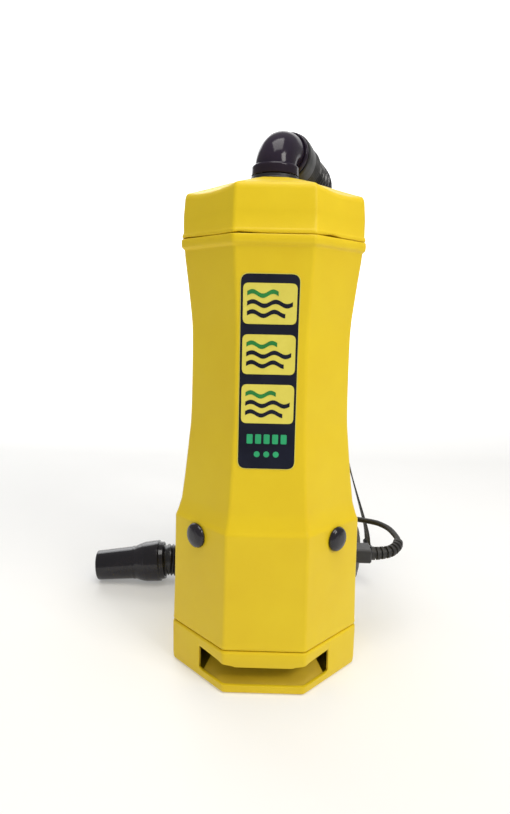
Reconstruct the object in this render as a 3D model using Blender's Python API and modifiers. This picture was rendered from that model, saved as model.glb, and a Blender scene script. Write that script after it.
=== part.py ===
"""Backpack vacuum cleaner standing on its base, with its harness, hose and switch lead.

Metres, +Z up. The origin is the centre of the base's underside, the front faces -Y and
the wearer's side faces +Y. The casing is a regular octagon in section, so its sizes are
half widths across the flats.
"""
import math

import bmesh
import bpy
from mathutils import Matrix, Vector

GAP = 0.0003
OCTAGON = math.cos(math.pi / 8)
DIAGONAL = math.sqrt(0.5)
UP = Vector((0, 0, 1))

# Casing: (height, half width across flats), from the base to the rim
CASING = (
    (0.0514, 0.1028), (0.0965, 0.1018), (0.1720, 0.1006), (0.1810, 0.0976),
    (0.1906, 0.0946), (0.2140, 0.0916), (0.2380, 0.0890), (0.2600, 0.0868),
    (0.2810, 0.0850), (0.3190, 0.0841), (0.3750, 0.0840), (0.4080, 0.0867),
    (0.4545, 0.0920),
)
WALL = 0.003
BASE_HALF = 0.1037
BASE_TOP = 0.0475
BASE_CHAMFER = 0.0037
RIM_HALF = 0.0947
RIM_BOTTOM = 0.4580
RIM_TOP = 0.4675
LID_BOTTOM = 0.4690
LID_HALF = 0.0940
LID_SHOULDER = 0.5125
LID_SHOULDER_HALF = 0.0914
LID_TOP = 0.5325

# Exhaust mouth, through the front and the two angled facets beside it
MOUTH_HALF = 0.070
MOUTH_LOW = 0.010
MOUTH_HIGH = 0.0305
MOUTH_SIDE_HIGH = 0.0400
MOUTH_TONGUE = 0.046
MOUTH_BACK = -0.072
CAP_HEIGHT = 0.160
CAP_SHIFT = 0.0035

# Shelves inside the casing
CRADLE_SEAT = 0.0555
SHELF_SEAT = 0.1525
SHELF_RIB = 0.005
RING_SEAT = 0.4545
SEAT_HALF = 0.0930
PLATE_THICK = 0.0035

# Motor
MOTOR_BOTTOM = CRADLE_SEAT + PLATE_THICK + 2 * GAP
MOTOR_TOP = 0.1075
MOTOR_RADIUS = 0.047
FAN_CAN_RADIUS = 0.0715
FAN_CAN_TOP = 0.1515
FAN_CAN_WALL = 0.0015
SHAFT_RADIUS = 0.004
FAN_LOW = 0.1170
FAN_RADIUS = 0.066
FAN_BLADES = 8

# Inlet and elbow
INLET_RADIUS = 0.0205
INLET_HOLE = 0.0212
ELBOW_RADIUS = 0.0225
ELBOW_WALL = 0.0025
ELBOW_START = 0.5385
ELBOW_RISE = 0.5440
ELBOW_BEND = 0.0235
NUT_HEIGHT = 0.0055
ELBOW_TURN = math.radians(100)
ELBOW_TAIL = 0.003
ELBOW_HEADING = Vector((0.46, math.sqrt(1 - 0.46 ** 2), 0))
CUFF_LENGTH = 0.037

# Hose, lead and their routes, by hand
HOSE_RADIUS = 0.023
HOSE_WALL = 0.002
HOSE_SPACING = 0.040
HOSE_SPLIT = 0.30
HOSE_TAIL = 0.010
HOSE_POINTS = (
    (0.0480, 0.093, 0.5520), (0.0515, 0.129, 0.5475), (0.0495, 0.168, 0.5440),
    (0.0470, 0.215, 0.5330), (0.0440, 0.268, 0.5080), (0.0420, 0.320, 0.4680),
    (0.0400, 0.366, 0.4140), (0.0380, 0.400, 0.3500), (0.0360, 0.424, 0.2780),
    (0.0330, 0.438, 0.2050), (0.0270, 0.430, 0.1330), (0.0160, 0.400, 0.0750),
    (0.0000, 0.349, 0.0370), (-0.0180, 0.290, 0.0240), (-0.0350, 0.234, 0.0240),
    (-0.0610, 0.190, 0.0245), (-0.0980, 0.162, 0.0270), (-0.1410, 0.152, 0.0310),
)
END_CUFF_LENGTH = 0.092
END_CUFF_DIRECTION = Vector((-0.995, -0.035, -0.094)).normalized()

LEAD_RADIUS = 0.0035
LEAD_SPACING = 0.0130
RELIEF_POINTS = (
    (0.1256, 0.0000, 0.1150), (0.1335, 0.0000, 0.1150), (0.1490, 0.0042, 0.1160),
    (0.1598, 0.0150, 0.1180), (0.1634, 0.0240, 0.1195),
)
RELIEF_RADII = (0.0080, 0.0058)
LEAD_POINTS = (
    (0.1645, 0.0350, 0.1210), (0.1603, 0.0584, 0.1228), (0.1518, 0.0746, 0.1232),
    (0.1440, 0.0840, 0.1225), (0.1280, 0.1005, 0.1195), (0.1165, 0.1175, 0.1150),
    (0.1125, 0.1350, 0.1110), (0.1105, 0.1580, 0.1085), (0.1100, 0.1800, 0.1120),
    (0.1095, 0.2010, 0.1230), (0.1085, 0.2200, 0.1340), (0.1070, 0.2370, 0.1380),
    (0.1055, 0.2520, 0.1320), (0.1043, 0.2605, 0.1195), (0.1040, 0.2620, 0.1068),
)

# Harness
FRAME_FRONT = 0.1080
FRAME_THICK = 0.004
FRAME_HALF = 0.088
FRAME_LOW = 0.036
FRAME_HIGH = 0.458
BOSS_RADIUS = 0.009
SCREW_RADIUS = 0.0020
SCREW_HOLE = 0.0024
HEAD_RADIUS = 0.0044
HEAD_DEPTH = 0.0026
SCREW_PLACES = ((-0.026, 0.1500), (0.026, 0.1500), (-0.026, 0.4440), (0.026, 0.4440))
PAD_FRONT = FRAME_FRONT + FRAME_THICK + 0.0027
PAD_THICK = 0.016
STRAP_WIDTH = 0.042
STRAP_THICK = 0.008
WEB_WIDTH = 0.025
WEB_THICK = 0.0018
BELT_THICK = 0.009

# Latches on the two rear angled facets
LATCH_PIVOT_OUT = 0.0980
LATCH_PIVOT_Z = 0.4490
LATCH_WIDTH = 0.022
EAR_WIDTH = 0.003
PIN_RADIUS = 0.0012
PIN_HOLE = 0.0015

# Switch box on the right belt wing
BOX_CENTRE = Vector((0.104, 0.262, 0.072))
BOX_OUT = Vector((0.65, 0.76, 0)).normalized()
BOX_SIZE = (0.040, 0.060, 0.022)
ROCKER_SIZE = (0.014, 0.022, 0.010)

BUCKLE_CENTRE = Vector((0.0, 0.276, 0.090))


for existing in list(bpy.data.objects):
    bpy.data.objects.remove(existing, do_unlink=True)

parts = bpy.data.collections.new("backpack_vacuum")
cutters = bpy.data.collections.new("cutters")
for collection in (parts, cutters):
    bpy.context.scene.collection.children.link(collection)


def material(name, colour, roughness, metallic=0.0):
    """A Principled material with the part's own colour."""
    made = bpy.data.materials.new(name)
    made.use_nodes = True
    made.diffuse_color = (*colour, 1)
    shader = made.node_tree.nodes["Principled BSDF"]
    shader.inputs["Base Color"].default_value = (*colour, 1)
    shader.inputs["Roughness"].default_value = roughness
    shader.inputs["Metallic"].default_value = metallic
    return made


YELLOW = material("yellow_abs", (0.86, 0.68, 0.04), 0.45)
NAVY = material("navy_label", (0.012, 0.018, 0.05), 0.35)
SMOKE = material("smoke_plastic", (0.045, 0.035, 0.055), 0.12)
BLACK = material("black_plastic", (0.02, 0.02, 0.022), 0.4)
HOSE = material("hose_plastic", (0.025, 0.023, 0.027), 0.35)
RUBBER = material("black_rubber", (0.018, 0.018, 0.018), 0.7)
STEEL = material("zinc_steel", (0.6, 0.6, 0.6), 0.3, 1.0)
COPPER = material("copper_winding", (0.6, 0.25, 0.12), 0.4, 1.0)
ALLOY = material("cast_alloy", (0.7, 0.7, 0.72), 0.35, 1.0)
NYLON = material("black_webbing", (0.015, 0.015, 0.016), 0.85)
MESH = material("pad_fabric", (0.02, 0.02, 0.022), 0.9)
CLOTH = material("filter_cloth", (0.75, 0.76, 0.76), 0.9)
PAPER = material("bag_paper", (0.82, 0.78, 0.68), 0.85)
PLEATS = material("filter_media", (0.85, 0.86, 0.84), 0.85)


# ---------------------------------------------------------------- shape helpers

def placed(obj, origin=(0, 0, 0), x_axis=(1, 0, 0), y_axis=(0, 1, 0)):
    """Put an object's own X and Y along two world directions, at a world point."""
    x = Vector(x_axis).normalized()
    z = x.cross(Vector(y_axis)).normalized()
    y = z.cross(x)
    turn = Matrix((x, y, z)).transposed().to_4x4()
    obj.matrix_world = Matrix.Translation(Vector(origin)) @ turn
    return obj


def add_object(name, data, finish):
    obj = bpy.data.objects.new(name, data)
    if finish is None:
        cutters.objects.link(obj)
        obj.hide_render = True
        obj.display_type = "WIRE"
    else:
        parts.objects.link(obj)
        data.materials.append(finish)
    return obj


def screwed(name, outline, finish, steps, closed, smooth):
    """Turn an outline of (radius, height) about Z; it runs down its outer side."""
    mesh = bpy.data.meshes.new(name)
    count = len(outline)
    edges = [(i, i + 1) for i in range(count - 1)]
    if closed:
        edges.append((count - 1, 0))
    mesh.from_pydata([(r, 0, z) for r, z in outline], edges, [])
    obj = add_object(name, mesh, finish)
    screw = obj.modifiers.new("turn", "SCREW")
    screw.steps = steps
    screw.render_steps = steps
    screw.use_smooth_shade = smooth
    screw.use_merge_vertices = True
    screw.merge_threshold = 0.00001
    return obj


def turned(name, outline, finish, steps=20, closed=True):
    return screwed(name, outline, finish, steps, closed, True)


def octagonal(name, outline, finish, closed=True):
    """The same with eight flats, from half widths; a flat faces each of X and Y."""
    corners = [(half / OCTAGON, z) for half, z in outline]
    obj = screwed(name, corners, finish, 8, closed, False)
    obj.rotation_euler.z = math.pi / 8
    return obj


def block(name, size, finish, bevel=0.0):
    """A box of a size, centred on its own origin, with its edges rounded."""
    mesh = bpy.data.meshes.new(name)
    made = bmesh.new()
    bmesh.ops.create_cube(made, size=1.0)
    bmesh.ops.scale(made, vec=Vector(size), verts=made.verts)
    made.to_mesh(mesh)
    made.free()
    obj = add_object(name, mesh, finish)
    if bevel:
        rounding = obj.modifiers.new("edges", "BEVEL")
        rounding.width = bevel
        rounding.segments = 1
    return obj


def rod(name, radius, length, finish, sides=12):
    """A cylinder along its own Z, centred on its origin."""
    mesh = bpy.data.meshes.new(name)
    made = bmesh.new()
    bmesh.ops.create_cone(made, cap_ends=True, segments=sides, radius1=radius,
                          radius2=radius, depth=length)
    made.to_mesh(mesh)
    made.free()
    obj = add_object(name, mesh, finish)
    mesh.shade_smooth()
    mesh.set_sharp_from_angle(angle=math.radians(40))
    return obj


def flat_outline(name, points, thickness, finish):
    """A filled outline in its own XY plane, half its thickness each way."""
    curve = bpy.data.curves.new(name, "CURVE")
    curve.dimensions = "2D"
    curve.fill_mode = "BOTH"
    curve.extrude = thickness / 2
    spline = curve.splines.new("POLY")
    spline.points.add(len(points) - 1)
    for point, (x, y) in zip(spline.points, points):
        point.co = (x, y, 0, 1)
    spline.use_cyclic_u = True
    return add_object(name, curve, finish)


def as_mesh(curve_obj):
    """Turn a curve object into a closed mesh object of the same name and place."""
    name = curve_obj.name
    finish = curve_obj.data.materials[0] if curve_obj.data.materials else None
    place = curve_obj.matrix_world.copy()
    bpy.context.view_layer.update()
    evaluated = curve_obj.evaluated_get(bpy.context.evaluated_depsgraph_get())
    mesh = bpy.data.meshes.new_from_object(evaluated)
    welded = bmesh.new()
    welded.from_mesh(mesh)
    bmesh.ops.remove_doubles(welded, verts=welded.verts, dist=0.00001)
    bmesh.ops.recalc_face_normals(welded, faces=welded.faces)
    welded.to_mesh(mesh)
    welded.free()
    bpy.data.objects.remove(curve_obj, do_unlink=True)
    mesh.materials.clear()
    obj = add_object(name, mesh, finish)
    obj.name = name
    obj.matrix_world = place
    return obj


def boolean(target, other, operation):
    modifier = target.modifiers.new(operation.lower(), "BOOLEAN")
    modifier.operation = operation
    modifier.object = other
    modifier.solver = "EXACT"


def cut(target, cutter):
    boolean(target, cutter, "DIFFERENCE")


def smooth_route(points, spacing):
    """Points at an even spacing on a smooth curve through a route's own points."""
    own = [Vector(p) for p in points]
    padded = [own[0] * 2 - own[1]] + own + [own[-1] * 2 - own[-2]]
    fine = []
    for a, b, c, d in zip(padded, padded[1:], padded[2:], padded[3:]):
        for step in range(24):
            t = step / 24
            fine.append(0.5 * ((2 * b) + (c - a) * t + (2 * a - 5 * b + 4 * c - d) * t ** 2
                               + (3 * b - a - 3 * c + d) * t ** 3))
    fine.append(own[-1])
    lengths = [0.0]
    for a, b in zip(fine, fine[1:]):
        lengths.append(lengths[-1] + (b - a).length)
    count = max(2, round(lengths[-1] / spacing))
    spaced = []
    index = 0
    for i in range(count + 1):
        want = lengths[-1] * i / count
        while index < len(fine) - 2 and lengths[index + 1] < want:
            index += 1
        span = lengths[index + 1] - lengths[index]
        share = (want - lengths[index]) / span if span else 0.0
        spaced.append(fine[index].lerp(fine[index + 1], min(1.0, share)))
    return spaced


def round_tube(name, points, radius, finish, radii=None, wall=0.0, sides=3):
    """A bevelled curve along points; with a wall it is open at both ends."""
    curve = bpy.data.curves.new(name, "CURVE")
    curve.dimensions = "3D"
    curve.bevel_depth = radius
    curve.bevel_resolution = sides
    curve.use_fill_caps = not wall
    spline = curve.splines.new("POLY")
    spline.points.add(len(points) - 1)
    for i, (point, place) in enumerate(zip(spline.points, points)):
        point.co = (*place, 1)
        point.radius = radii[i] / radius if radii else 1.0
    obj = add_object(name, curve, finish)
    if wall:
        skin = obj.modifiers.new("wall", "SOLIDIFY")
        skin.thickness = wall
        skin.offset = -1
    return obj


def strap(name, stations, finish):
    """A flat band lofted through stations of (centre, width direction, width, thickness)."""
    mesh = bpy.data.meshes.new(name)
    made = bmesh.new()
    centres = [Vector(station[0]) for station in stations]
    rings = []
    for i, (_, across, width, thick) in enumerate(stations):
        along = (centres[min(i + 1, len(centres) - 1)] - centres[max(i - 1, 0)]).normalized()
        side = Vector(across).normalized()
        face = along.cross(side).normalized()
        ring = []
        for u, v in ((1, 1), (-1, 1), (-1, -1), (1, -1)):
            ring.append(made.verts.new(centres[i] + side * (u * width / 2) + face * (v * thick / 2)))
        rings.append(ring)
    for low, high in zip(rings, rings[1:]):
        for k in range(4):
            n = (k + 1) % 4
            made.faces.new((low[k], low[n], high[n], high[k]))
    made.faces.new(rings[0][::-1])
    made.faces.new(rings[-1])
    bmesh.ops.recalc_face_normals(made, faces=made.faces)
    made.to_mesh(mesh)
    made.free()
    return add_object(name, mesh, finish)


def even_strap(name, points, acrosses, widths, thick, finish, spacing):
    """A strap along a smooth route, its width and direction eased from end to end."""
    route = smooth_route(points, spacing)
    stations = []
    for i, centre in enumerate(route):
        place = (len(acrosses) - 1) * i / (len(route) - 1)
        k = min(int(place), len(acrosses) - 2)
        share = place - k
        across = Vector(acrosses[k]).lerp(Vector(acrosses[k + 1]), share)
        width = widths[k] + (widths[k + 1] - widths[k]) * share
        stations.append((centre, across, width, thick))
    return strap(name, stations, finish)


def mirrored(point):
    return (-point[0], *point[1:])


def casing_half(z):
    """Half width of the casing's outside at a height."""
    for (z0, w0), (z1, w1) in zip(CASING, CASING[1:]):
        if z <= z1:
            return w0 + (w1 - w0) * (z - z0) / (z1 - z0)
    return CASING[-1][1]


# ---------------------------------------------------------------- casing

def make_base():
    """Base cap with the exhaust mouth, the sloping deflector and the exhaust filter."""
    inner = BASE_HALF - WALL
    cup = [(0, WALL), (inner, WALL), (inner, 0.030), (inner - 0.008, 0.032),
           (inner - 0.008, 0.0335), (inner, 0.0335), (inner, BASE_TOP),
           (BASE_HALF, BASE_TOP), (BASE_HALF, BASE_CHAMFER * 2),
           (BASE_HALF - BASE_CHAMFER, 0), (0, 0)]
    base = octagonal("base_cap", cup, YELLOW, closed=False)
    depth = BASE_HALF + MOUTH_BACK + 0.02
    front = (MOUTH_BACK - BASE_HALF - 0.02) / 2
    mouth = block("cut_mouth", (2 * MOUTH_HALF, depth, MOUTH_HIGH - MOUTH_LOW), None)
    mouth.location = (0, front, (MOUTH_HIGH + MOUTH_LOW) / 2)
    cut(base, mouth)
    rise = MOUTH_SIDE_HIGH - MOUTH_HIGH + 0.002
    width = MOUTH_HALF - MOUTH_TONGUE
    for side in (-1, 1):
        corner = block("cut_mouth_side", (width, depth, rise), None)
        corner.location = (side * (MOUTH_HALF - width / 2), front, MOUTH_SIDE_HIGH - rise / 2)
        cut(base, corner)

    reach = inner - 0.0008
    edge = 0.4142 * reach
    side = 0.066
    back_side = 0.052
    back = -0.056
    corner_y = -(reach + edge - side)
    plan = [(-edge, -reach), (edge, -reach), (side, corner_y), (back_side, back),
            (-back_side, back), (-side, corner_y)]
    thick = 0.026
    deflector = as_mesh(flat_outline("exhaust_deflector", plan, thick, YELLOW))
    deflector.location.z = WALL + GAP + thick / 2
    slope = block("cut_slope", (0.2, 0.09, 0.04), None)
    slope.rotation_euler.x = math.radians(26)
    slope.location = (0, -0.0885, 0.0372)
    cut(deflector, slope)

    media = inner - 0.002
    octagonal("exhaust_filter", [(0, BASE_TOP - 0.001), (media, BASE_TOP - 0.001),
                                 (media, 0.0338), (0, 0.0338)], PLEATS, closed=False)


def make_shell():
    """Main casing: one octagonal skin with the ledges that its inner pieces rest on."""
    outer = [(half, z) for z, half in reversed(CASING)]
    inner = [(half - WALL, z) for z, half in CASING[1:-1]]
    low_half = casing_half(SHELF_SEAT) - WALL
    ribbed = []
    for half, z in inner:
        if z > SHELF_SEAT and not any(h == SEAT_HALF for h, _ in ribbed):
            ribbed += [(low_half, SHELF_SEAT - SHELF_RIB), (SEAT_HALF, SHELF_SEAT - SHELF_RIB),
                       (SEAT_HALF, SHELF_SEAT), (low_half, SHELF_SEAT)]
        ribbed.append((half, z))
    bottom_half = CASING[0][1] - WALL
    loop = [(RIM_HALF - 0.005, RIM_TOP), (RIM_HALF, RIM_TOP), (RIM_HALF, RIM_BOTTOM)]
    loop += outer
    loop += [(SEAT_HALF, CASING[0][0]), (SEAT_HALF, CRADLE_SEAT), (bottom_half, CRADLE_SEAT)]
    loop += ribbed
    loop += [(0.0862, RING_SEAT), (RIM_HALF - 0.005, RING_SEAT)]
    shell = octagonal("body_shell", loop, YELLOW)

    for side in (-1, 1):
        hole = rod("cut_cap_hole", 0.0085, 0.02, None, 20)
        placed(hole, cap_place(side), (DIAGONAL, side * DIAGONAL, 0), UP)
        cut(shell, hole)
    lead_hole = rod("cut_lead_hole", 0.006, 0.03, None)
    placed(lead_hole, (casing_half(0.115), 0, 0.115), (0, 1, 0), UP)
    cut(shell, lead_hole)
    for x, z in SCREW_PLACES:
        hole = rod("cut_screw_hole", SCREW_HOLE, 0.04, None, 10)
        placed(hole, (x, casing_half(z), z), (1, 0, 0), UP)
        cut(shell, hole)


def cap_place(side):
    out = Vector((side * DIAGONAL, -DIAGONAL, 0))
    outward = Vector((side * DIAGONAL, DIAGONAL, 0))
    return out * casing_half(CAP_HEIGHT) + outward * CAP_SHIFT + UP * CAP_HEIGHT


def make_front_trim():
    """Round caps over the motor screws, and the label on the front facet."""
    dome = [(0, 0.0072), (0.0060, 0.0068), (0.0105, 0.0056), (0.0130, 0.0034),
            (0.0135, 0.0008), (0.0135, 0.0002), (0.0080, 0.0002), (0.0080, -0.0026), (0, -0.0026)]
    for side, word in ((-1, "left"), (1, "right")):
        cap = turned(f"screw_cap_{word}", dome, BLACK, closed=False)
        out = Vector((side * DIAGONAL, -DIAGONAL, 0))
        placed(cap, cap_place(side) + out * 0.0005, UP.cross(out), UP)

    low, high, left, right = 0.240, 0.431, -0.031, 0.0255
    heights = [low] + [z for z, _ in CASING if low < z < high] + [high]
    near = [(-casing_half(z) - 0.0004, z) for z in heights]
    far = [(y - 0.0008, z) for y, z in reversed(near)]
    label = flat_outline("label_panel", near + far, right - left, NAVY)
    placed(label, ((left + right) / 2, 0, 0), (0, 1, 0), UP)


# ---------------------------------------------------------------- motor and filters

def make_motor():
    """Two-stage motor between its cradle and the shelf under the bag chamber."""
    clear = 0.0004
    cradle_half = casing_half(CRADLE_SEAT) - WALL - clear
    seat = CRADLE_SEAT + GAP
    octagonal("motor_cradle", [(0.030, seat + PLATE_THICK), (cradle_half, seat + PLATE_THICK),
                               (cradle_half, seat), (0.030, seat)], BLACK)
    shelf_half = casing_half(SHELF_SEAT + PLATE_THICK) - WALL - clear
    shelf = SHELF_SEAT + GAP
    octagonal("motor_shelf", [(0.026, shelf + PLATE_THICK), (shelf_half, shelf + PLATE_THICK),
                              (shelf_half, shelf), (0.026, shelf)], BLACK)

    bottom = MOTOR_BOTTOM
    wall = 0.0025
    bore = SHAFT_RADIUS + 0.0005
    turned("motor_frame", [
        (bore, MOTOR_TOP), (MOTOR_RADIUS, MOTOR_TOP), (MOTOR_RADIUS, bottom), (0.014, bottom),
        (0.014, bottom + wall), (MOTOR_RADIUS - wall, bottom + wall),
        (MOTOR_RADIUS - wall, MOTOR_TOP - wall), (0.0125, MOTOR_TOP - wall),
        (0.0125, MOTOR_TOP - 0.0055), (0.0115, MOTOR_TOP - 0.0055),
        (0.0115, MOTOR_TOP - wall), (bore, MOTOR_TOP - wall)], ALLOY)
    bearing_top = MOTOR_TOP - wall - GAP
    turned("motor_bearing", [(bore, bearing_top), (0.0111, bearing_top),
                             (0.0111, bearing_top - 0.005), (bore, bearing_top - 0.005)], STEEL)
    turned("stator", [(0.026, 0.095), (0.0441, 0.095), (0.0441, 0.070), (0.026, 0.070)], COPPER)
    turned("armature", [(bore, 0.096), (0.0235, 0.096), (0.0235, 0.069), (bore, 0.069)],
           COPPER, steps=16)
    shaft_low = bottom + 0.0045
    shaft_high = FAN_LOW + 0.022
    shaft = rod("motor_shaft", SHAFT_RADIUS, shaft_high - shaft_low, STEEL, 10)
    shaft.location.z = (shaft_high + shaft_low) / 2

    top = FAN_CAN_TOP
    can = FAN_CAN_WALL
    floor = MOTOR_TOP + GAP
    turned("fan_housing", [
        (0.024, top), (FAN_CAN_RADIUS, top), (FAN_CAN_RADIUS, floor), (0.038, floor),
        (0.038, floor + can), (FAN_CAN_RADIUS - can, floor + can),
        (FAN_CAN_RADIUS - can, top - can), (0.024, top - can)], STEEL, steps=28)

    disc = 0.0015
    wheel = turned("fan_wheel", [
        (bore, FAN_LOW + 0.020), (0.010, FAN_LOW + 0.020), (0.010, FAN_LOW + disc),
        (FAN_RADIUS, FAN_LOW + disc), (FAN_RADIUS, FAN_LOW), (bore, FAN_LOW)], ALLOY, steps=24)
    for i in range(FAN_BLADES):
        blade = block("join_blade", (0.048, 0.0015, 0.016), None)
        blade.rotation_euler.z = 2 * math.pi * i / FAN_BLADES
        radial = Matrix.Rotation(blade.rotation_euler.z, 3, "Z") @ Vector((0.0365, 0.006, 0))
        blade.location = (radial.x, radial.y, FAN_LOW + 0.0085)
        boolean(wheel, blade, "UNION")


def make_filters():
    """Cloth filter on its ring, the paper bag inside it, and the lid's gasket."""
    seat = RING_SEAT + GAP
    half = RIM_HALF - 0.005 - GAP
    octagonal("filter_ring", [(0.0775, seat + 0.003), (half, seat + 0.003), (half, seat),
                              (0.0775, seat)], BLACK)
    flange = seat + 0.003 + GAP
    wall = 0.0012
    turned("cloth_filter", [
        (0, 0.1735), (0.073, 0.1735), (0.0755, 0.177), (0.0755, flange), (0.0755 - wall, flange + wall),
        (0.0755 - wall, 0.178), (0.0725, 0.1747), (0, 0.1747)][::-1], CLOTH, steps=24, closed=False)
    gasket = flange + wall + GAP
    octagonal("lid_gasket", [(0.0800, gasket + 0.006), (half - 0.001, gasket + 0.006),
                             (half - 0.001, gasket), (0.0800, gasket)], RUBBER)
    turned("dust_bag", [
        (0.0235, 0.428), (0.0420, 0.428), (0.0420, 0.424), (0.0600, 0.412), (0.0680, 0.385),
        (0.0680, 0.225), (0.0560, 0.198), (0, 0.192), (0, 0.1935), (0.0550, 0.1995),
        (0.0665, 0.226), (0.0665, 0.384), (0.0590, 0.4105), (0.0410, 0.4225),
        (0.0235, 0.4235)], PAPER)


# ---------------------------------------------------------------- lid and elbow

def make_lid():
    """Lid with the round hole for the inlet, and the tube that enters the bag."""
    land = 0.0035
    wall = WALL
    outline = [
        (0, LID_TOP), (0.030, LID_TOP), (0.050, 0.5262), (0.0885, 0.5143),
        (LID_SHOULDER_HALF, LID_SHOULDER), (LID_HALF, LID_BOTTOM), (0.0810, LID_BOTTOM),
        (0.0810, LID_BOTTOM + land), (LID_HALF - wall, LID_BOTTOM + land),
        (LID_SHOULDER_HALF - wall, LID_SHOULDER - wall * 0.8), (0.0492, 0.5228),
        (0.030, LID_TOP - wall * 1.1), (0, LID_TOP - wall * 1.1)]
    lid = octagonal("lid", outline, YELLOW, closed=False)
    hole = rod("cut_inlet", INLET_HOLE, 0.03, None, 24)
    hole.location.z = LID_TOP
    cut(lid, hole)
    low = LID_TOP - wall * 1.1 - GAP
    bore = INLET_RADIUS - 0.002
    turned("inlet_tube", [
        (bore, LID_TOP + 0.0045), (INLET_RADIUS, LID_TOP + 0.0045), (INLET_RADIUS, low),
        (0.0285, low), (0.0285, low - 0.0025), (INLET_RADIUS, low - 0.0025),
        (INLET_RADIUS, 0.431), (bore, 0.431)], BLACK)
    turned("swivel_ring", [
        (INLET_RADIUS + GAP, LID_TOP + 0.0048), (0.0262, LID_TOP + 0.0048), (0.0268, LID_TOP + GAP),
        (INLET_RADIUS + GAP, LID_TOP + GAP)], BLACK, steps=24)


def elbow_route():
    """Centreline of the elbow: a short rise, then an arc that ends a little downhill."""
    points = [Vector((0, 0, ELBOW_START))]
    for i in range(9):
        angle = ELBOW_TURN * i / 8
        out = ELBOW_BEND * (1 - math.cos(angle))
        rise = ELBOW_BEND * math.sin(angle)
        points.append(ELBOW_HEADING * out + UP * (ELBOW_RISE + rise))
    points.append(points[-1] + outlet_direction() * ELBOW_TAIL)
    return points


def outlet_direction():
    return ELBOW_HEADING * math.sin(ELBOW_TURN) + UP * math.cos(ELBOW_TURN)


def make_elbow():
    """Smoky elbow, the nut that holds it to the lid, and the hose's upper cuff."""
    route = elbow_route()
    round_tube("elbow", route, ELBOW_RADIUS, SMOKE, wall=ELBOW_WALL, sides=5)
    bore = ELBOW_RADIUS + 0.0010
    nut = turned("swivel_nut", [
        (bore, NUT_HEIGHT), (0.0246, NUT_HEIGHT), (0.0253, 0.0045), (0.0255, 0.0), (bore, 0.0)],
        SMOKE, steps=24)
    nut.location.z = ELBOW_START

    out = outlet_direction()
    cuff = turned("hose_cuff_top", [
        (0.0190, CUFF_LENGTH), (0.0238, CUFF_LENGTH), (0.0250, CUFF_LENGTH * 0.5),
        (0.0256, 0.009), (0.0262, 0.008), (0.0262, 0.0), (0.0190, 0.0)], BLACK, steps=24)
    placed(cuff, route[-1] + out * GAP, UP.cross(out), out.cross(UP.cross(out)))


# ---------------------------------------------------------------- hose and lead

def make_hose():
    """Hose from the upper cuff over the harness and down, ending on the floor."""
    out = outlet_direction()
    start = elbow_route()[-1] + out * (CUFF_LENGTH + 2 * GAP)
    route = [start] + smooth_route((tuple(start + out * HOSE_TAIL), *HOSE_POINTS), HOSE_SPACING)
    end = route[-1] + END_CUFF_DIRECTION * HOSE_TAIL
    route.append(end)
    split = round(len(route) * HOSE_SPLIT)
    joint = route[split]
    along = (route[split + 1] - route[split - 1]).normalized()
    upper = route[:split] + [joint - along * HOSE_TAIL, joint]
    lower = [joint + along * GAP, joint + along * HOSE_TAIL] + route[split + 1:]
    round_tube("hose_upper", upper, HOSE_RADIUS, HOSE, wall=HOSE_WALL)
    round_tube("hose_lower", lower, HOSE_RADIUS, HOSE, wall=HOSE_WALL)

    cuff = turned("hose_end_cuff", [
        (0.0175, END_CUFF_LENGTH), (0.0210, END_CUFF_LENGTH), (0.0240, 0.033), (0.0243, 0.030),
        (0.0285, 0.022), (0.0295, 0.014), (0.0270, 0.002), (0.0255, 0.0), (0.0190, 0.0)],
        BLACK, steps=24)
    out = END_CUFF_DIRECTION
    placed(cuff, end + out * 2 * GAP, UP.cross(out), out.cross(UP.cross(out)))


def make_lead():
    """Gland block on the casing, its tapered relief and the lead to the switch box."""
    near = casing_half(0.105) + 0.0004
    far = RELIEF_POINTS[0][0] - 2 * GAP
    gland = block("cord_gland", (far - near, 0.023, 0.017), BLACK, bevel=0.0015)
    gland.location = ((near + far) / 2, 0, 0.115)
    route = smooth_route(RELIEF_POINTS, 0.006)
    steps = len(route) - 1
    radii = [RELIEF_RADII[0] + (RELIEF_RADII[-1] - RELIEF_RADII[0]) * i / steps
             for i in range(steps + 1)]
    round_tube("strain_relief", route, RELIEF_RADII[0], RUBBER, radii=radii)
    tip = Vector(RELIEF_POINTS[-1])
    ahead = (tip - route[-2]).normalized()
    lead = smooth_route((tuple(tip + ahead * 0.0012), *LEAD_POINTS), LEAD_SPACING)
    round_tube("switch_lead", lead, LEAD_RADIUS, RUBBER, sides=2)


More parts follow.
